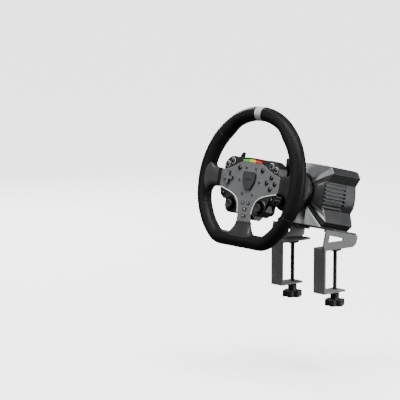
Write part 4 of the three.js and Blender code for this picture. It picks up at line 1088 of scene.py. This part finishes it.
# ------------------------------------------------------------------ base housing
# The motor housing is a dark coated casting with seven fins along each flank. The front cover is a
# lighter faceted casting, and the rear cover is a flat plate held by six screws.
cast_dark = finish_of(
    "cast_dark", (0.045, 0.046, 0.048), (0.058, 0.059, 0.061), (0.38, 0.5), 0.5, 0.02,
    metallic=0.6, edge=(0.07, 0.07, 0.072),
)
cover_grey = finish_of(
    "cover_grey", (0.2, 0.203, 0.208), (0.23, 0.233, 0.238), (0.3, 0.38), 0.3, 0.012,
    metallic=0.93, edge=(0.3, 0.3, 0.305),
)
fit(softened("motor_housing", 0.55), "finned_housing", cast_dark, "base", ["motor_housing"])
fit(
    softened("front_cover", 0.45, 24), "faceted_cover", cover_grey, "base", ["front_cover"],
    crease=16,
)
fit(softened("rear_cover", 0.5), "rear_plate", cast_dark, "base", ["rear_cover"])
cover_high = reach("rear_cover")[1]
rear_screws = [
    (side * x, cover_high.y + 0.15, height)
    for side in (-1, 1) for x, height in ((47, 46), (50, 0), (47, -47))
]
away_from_driver = -math.pi / 2
fit(
    grown_mesh(
        socket_screws, rear_screws, [], Radius=2.8, Height=0.9, Socket=1.4, Turn=away_from_driver,
        Material=black_oxide,
    ),
    "rear_screws", black_oxide, "base",
)

# The connector block is black plastic with a round power inlet between two plug sockets. A pin
# stands in the inlet, and a tongue in each plug socket.
fit(
    softened("connector_block", 0.35), "socket_block", moulded_black, "base",
    ["connector_block"],
)
block_high = reach("connector_block")[1]
block_middle = middle_of("connector_block")
socket_floor, socket_mouth, socket_spacing = block_high.y - 9, block_high.y, 16
fit(
    turned(
        [
            (0, socket_floor - 0.5), (1.0, socket_floor - 0.5), (1.0, socket_mouth - 2),
            (0.5, socket_mouth - 1.4), (0, socket_mouth - 1.4),
        ],
        block_middle.x, block_middle.z, 32,
    ),
    "inlet_pin", ground_steel, "base",
)
for side, hand in ((-1, "left"), (1, "right")):
    x = side * socket_spacing
    tongue = [
        (x - 3.6, block_middle.z - 0.6), (x + 3.6, block_middle.z - 0.6),
        (x + 3.6, block_middle.z + 0.6), (x - 3.6, block_middle.z + 0.6),
    ]
    fit(
        slab(rounded(tongue, 0.3, 2), [], socket_floor - 0.5, socket_mouth - 2, 0.1),
        "socket_tongue_" + hand, satin_black, "base", crease=30,
    )

# ------------------------------------------------------------------ mount plate and brackets
# The mount plate is steel in the housing's dark coat. Each of the two clamp brackets is bent from one
# steel strip in dark grey powder coat, and screws hold their flanges to the plate.
# The powder coat's lighter edge colour is wear and a painted highlight along the strips' edges.
powder_coat = finish_of(
    "powder_coat", (0.135, 0.137, 0.14), (0.16, 0.162, 0.165), (0.5, 0.62), 0.8, 0.03,
    edge=(0.16, 0.16, 0.163), shine=0.3,
)
DESK = Matrix.Scale(0.001, 4)
# The sheet is drawn thicker, to close the narrow gaps to the base above and to the flanges below.
sheet_growth = 1.19
mount_low, mount_high = reach("mount_plate")
sheet_middle = (mount_low.z + mount_high.z) / 2
sheet = softened("mount_plate", 0.35)
for vertex in sheet.verts:
    vertex.co.z = sheet_middle + (vertex.co.z - sheet_middle) * sheet_growth
fit(sheet, "mount_sheet", cast_dark, "base", ["mount_plate"])
for side in ("left", "right"):
    fit(
        softened("clamp_bracket_" + side, 0.7, 28, 3, DESK), "bent_bracket_" + side, powder_coat, "base",
        ["clamp_bracket_" + side], DESK,
    )
flange_screws = [(side * 61, depth, mount_low.z - 4.6) for side in (-1, 1) for depth in (170, 211)]
fit(
    grown_mesh(
        socket_screws, flange_screws, [], Radius=4.2, Height=1.6, Socket=2.1, Turn=math.pi,
        Material=black_oxide,
    ),
    "flange_screws", black_oxide, "base",
)


# ------------------------------------------------------------------ clamp screws
# Each clamp screw is an M8 stud in black oxide. Its thread runs through the bracket's lower arm, a
# lobed plastic knob is pressed on its lower end, and a swivel pad sits on its top.
def upright(x, y):
    """The place of a body turned about an upright axis: its depth runs up from the desk's top."""
    return DESK @ Matrix.Translation((x, y, 0)) @ Matrix.Rotation(math.pi / 2, 4, "X")


def thread_tree():
    tree, group_in, group_out = node_tree(
        "screw_thread", Turns="Float", Radius="Float", Length="Float", Ridge="Float", Material="Material"
    )
    helix = add_step(
        tree, "GeometryNodeCurveSpiral", Resolution=26, Rotations=group_in.outputs["Turns"],
        Start_Radius=group_in.outputs["Radius"], End_Radius=group_in.outputs["Radius"],
        Height=group_in.outputs["Length"],
    )
    ridge = add_step(
        tree, "GeometryNodeCurvePrimitiveCircle", Resolution=6, Radius=group_in.outputs["Ridge"]
    )
    swept = add_step(
        tree, "GeometryNodeCurveToMesh", Curve=helix.outputs[0], Profile_Curve=ridge.outputs[0],
        Fill_Caps=True,
    )
    close_tree(tree, swept.outputs[0], group_in, group_out)
    return tree


screw_thread = thread_tree()
pitch = 1.25
knob_plastic = finish_of(
    "knob_plastic", (0.007, 0.007, 0.0075), (0.011, 0.011, 0.0115), (0.42, 0.58), 0.5, 0.03
)
pad_rubber = finish_of(
    "pad_rubber", (0.012, 0.012, 0.0125), (0.02, 0.02, 0.0205), (0.65, 0.85), 0.4, 0.05
)
for side in ("left", "right"):
    screw_low, screw_high = reach("clamp_screw_" + side, DESK)
    knob_low, knob_high = reach("clamp_knob_" + side, DESK)
    pad_low, pad_high = reach("clamp_pad_" + side, DESK)
    axis = (screw_low + screw_high) / 2
    stand = upright(axis.x, axis.y)
    root = 3.45
    fit(
        turned(
            [(0, screw_low.z), (root, screw_low.z), (root, screw_high.z - 0.6), (root - 0.6, screw_high.z),
             (0, screw_high.z)],
            sides=40,
        ),
        "stud_" + side, black_oxide, "clamp_screw_" + side, ["clamp_screw_" + side], stand,
    )
    start = knob_high.z - 1
    length = screw_high.z - 2 - start
    thread = grown_mesh(
        screw_thread, [(0, 0, 0)], [], Turns=length / pitch, Radius=root, Length=length, Ridge=0.52,
        Material=black_oxide,
    )
    fit(
        thread, "thread_" + side, black_oxide, "clamp_screw_" + side,
        place=DESK @ Matrix.Translation((axis.x, axis.y, start)),
    )

    lobes, lobe_depth, knob_steps = 6, 4.6, 192
    knob_radius = knob_high.x - axis.x
    knob = bmesh.new()
    levels = []
    for inset, rise in ((0.7, 0), (0.2, 0.2), (0, 0.9), (0, 6), (0, 11.1), (0.2, 11.6), (0.8, 12)):
        ring = []
        for k in range(knob_steps):
            turn = 2 * math.pi * k / knob_steps
            away = knob_radius - lobe_depth * (0.5 - 0.5 * math.cos(lobes * turn)) ** 2 - inset
            height = knob_low.z + rise
            ring.append(knob.verts.new((away * math.cos(turn), height, away * math.sin(turn))))
        levels.append(ring)
    lobed_top = knob_low.z + 12
    for ring, after in zip(levels, levels[1:]):
        for k in range(knob_steps):
            m = (k + 1) % knob_steps
            knob.faces.new((ring[k], ring[m], after[m], after[k]))
    knob.faces.new(levels[0])
    knob.faces.new(levels[-1])
    turned(
        [(0, lobed_top - 1), (10, lobed_top - 1), (9.4, lobed_top + 1.2), (8.6, lobed_top + 2.2),
         (8.6, knob_high.z - 0.8), (7.8, knob_high.z), (0, knob_high.z)],
        sides=64, bm=knob,
    )
    fit(
        knob, "lobed_knob_" + side, knob_plastic, "clamp_screw_" + side,
        ["clamp_knob_" + side], stand, crease=35,
    )
    pad_radius = pad_high.x - axis.x
    grooves = []
    for groove in (3.5, 6, 8.5):
        grooves += [
            (groove, pad_high.z), (groove + 0.3, pad_high.z - 0.5), (groove + 0.7, pad_high.z - 0.5),
            (groove + 1, pad_high.z),
        ]
    fit(
        turned(
            [(0, pad_high.z)] + grooves + [
                (pad_radius - 0.8, pad_high.z), (pad_radius, pad_high.z - 0.8),
                (pad_radius, pad_low.z + 2.2),
                (pad_radius - 1, pad_low.z + 1.6), (7.2, pad_low.z + 1), (6.4, pad_low.z), (4.2, pad_low.z),
                (4.2, pad_low.z + 2.6), (0, pad_low.z + 2.6),
            ],
            sides=96,
        ),
        "swivel_pad_" + side, pad_rubber, "clamp_pad_" + side, ["clamp_pad_" + side], stand,
        crease=35,
    )
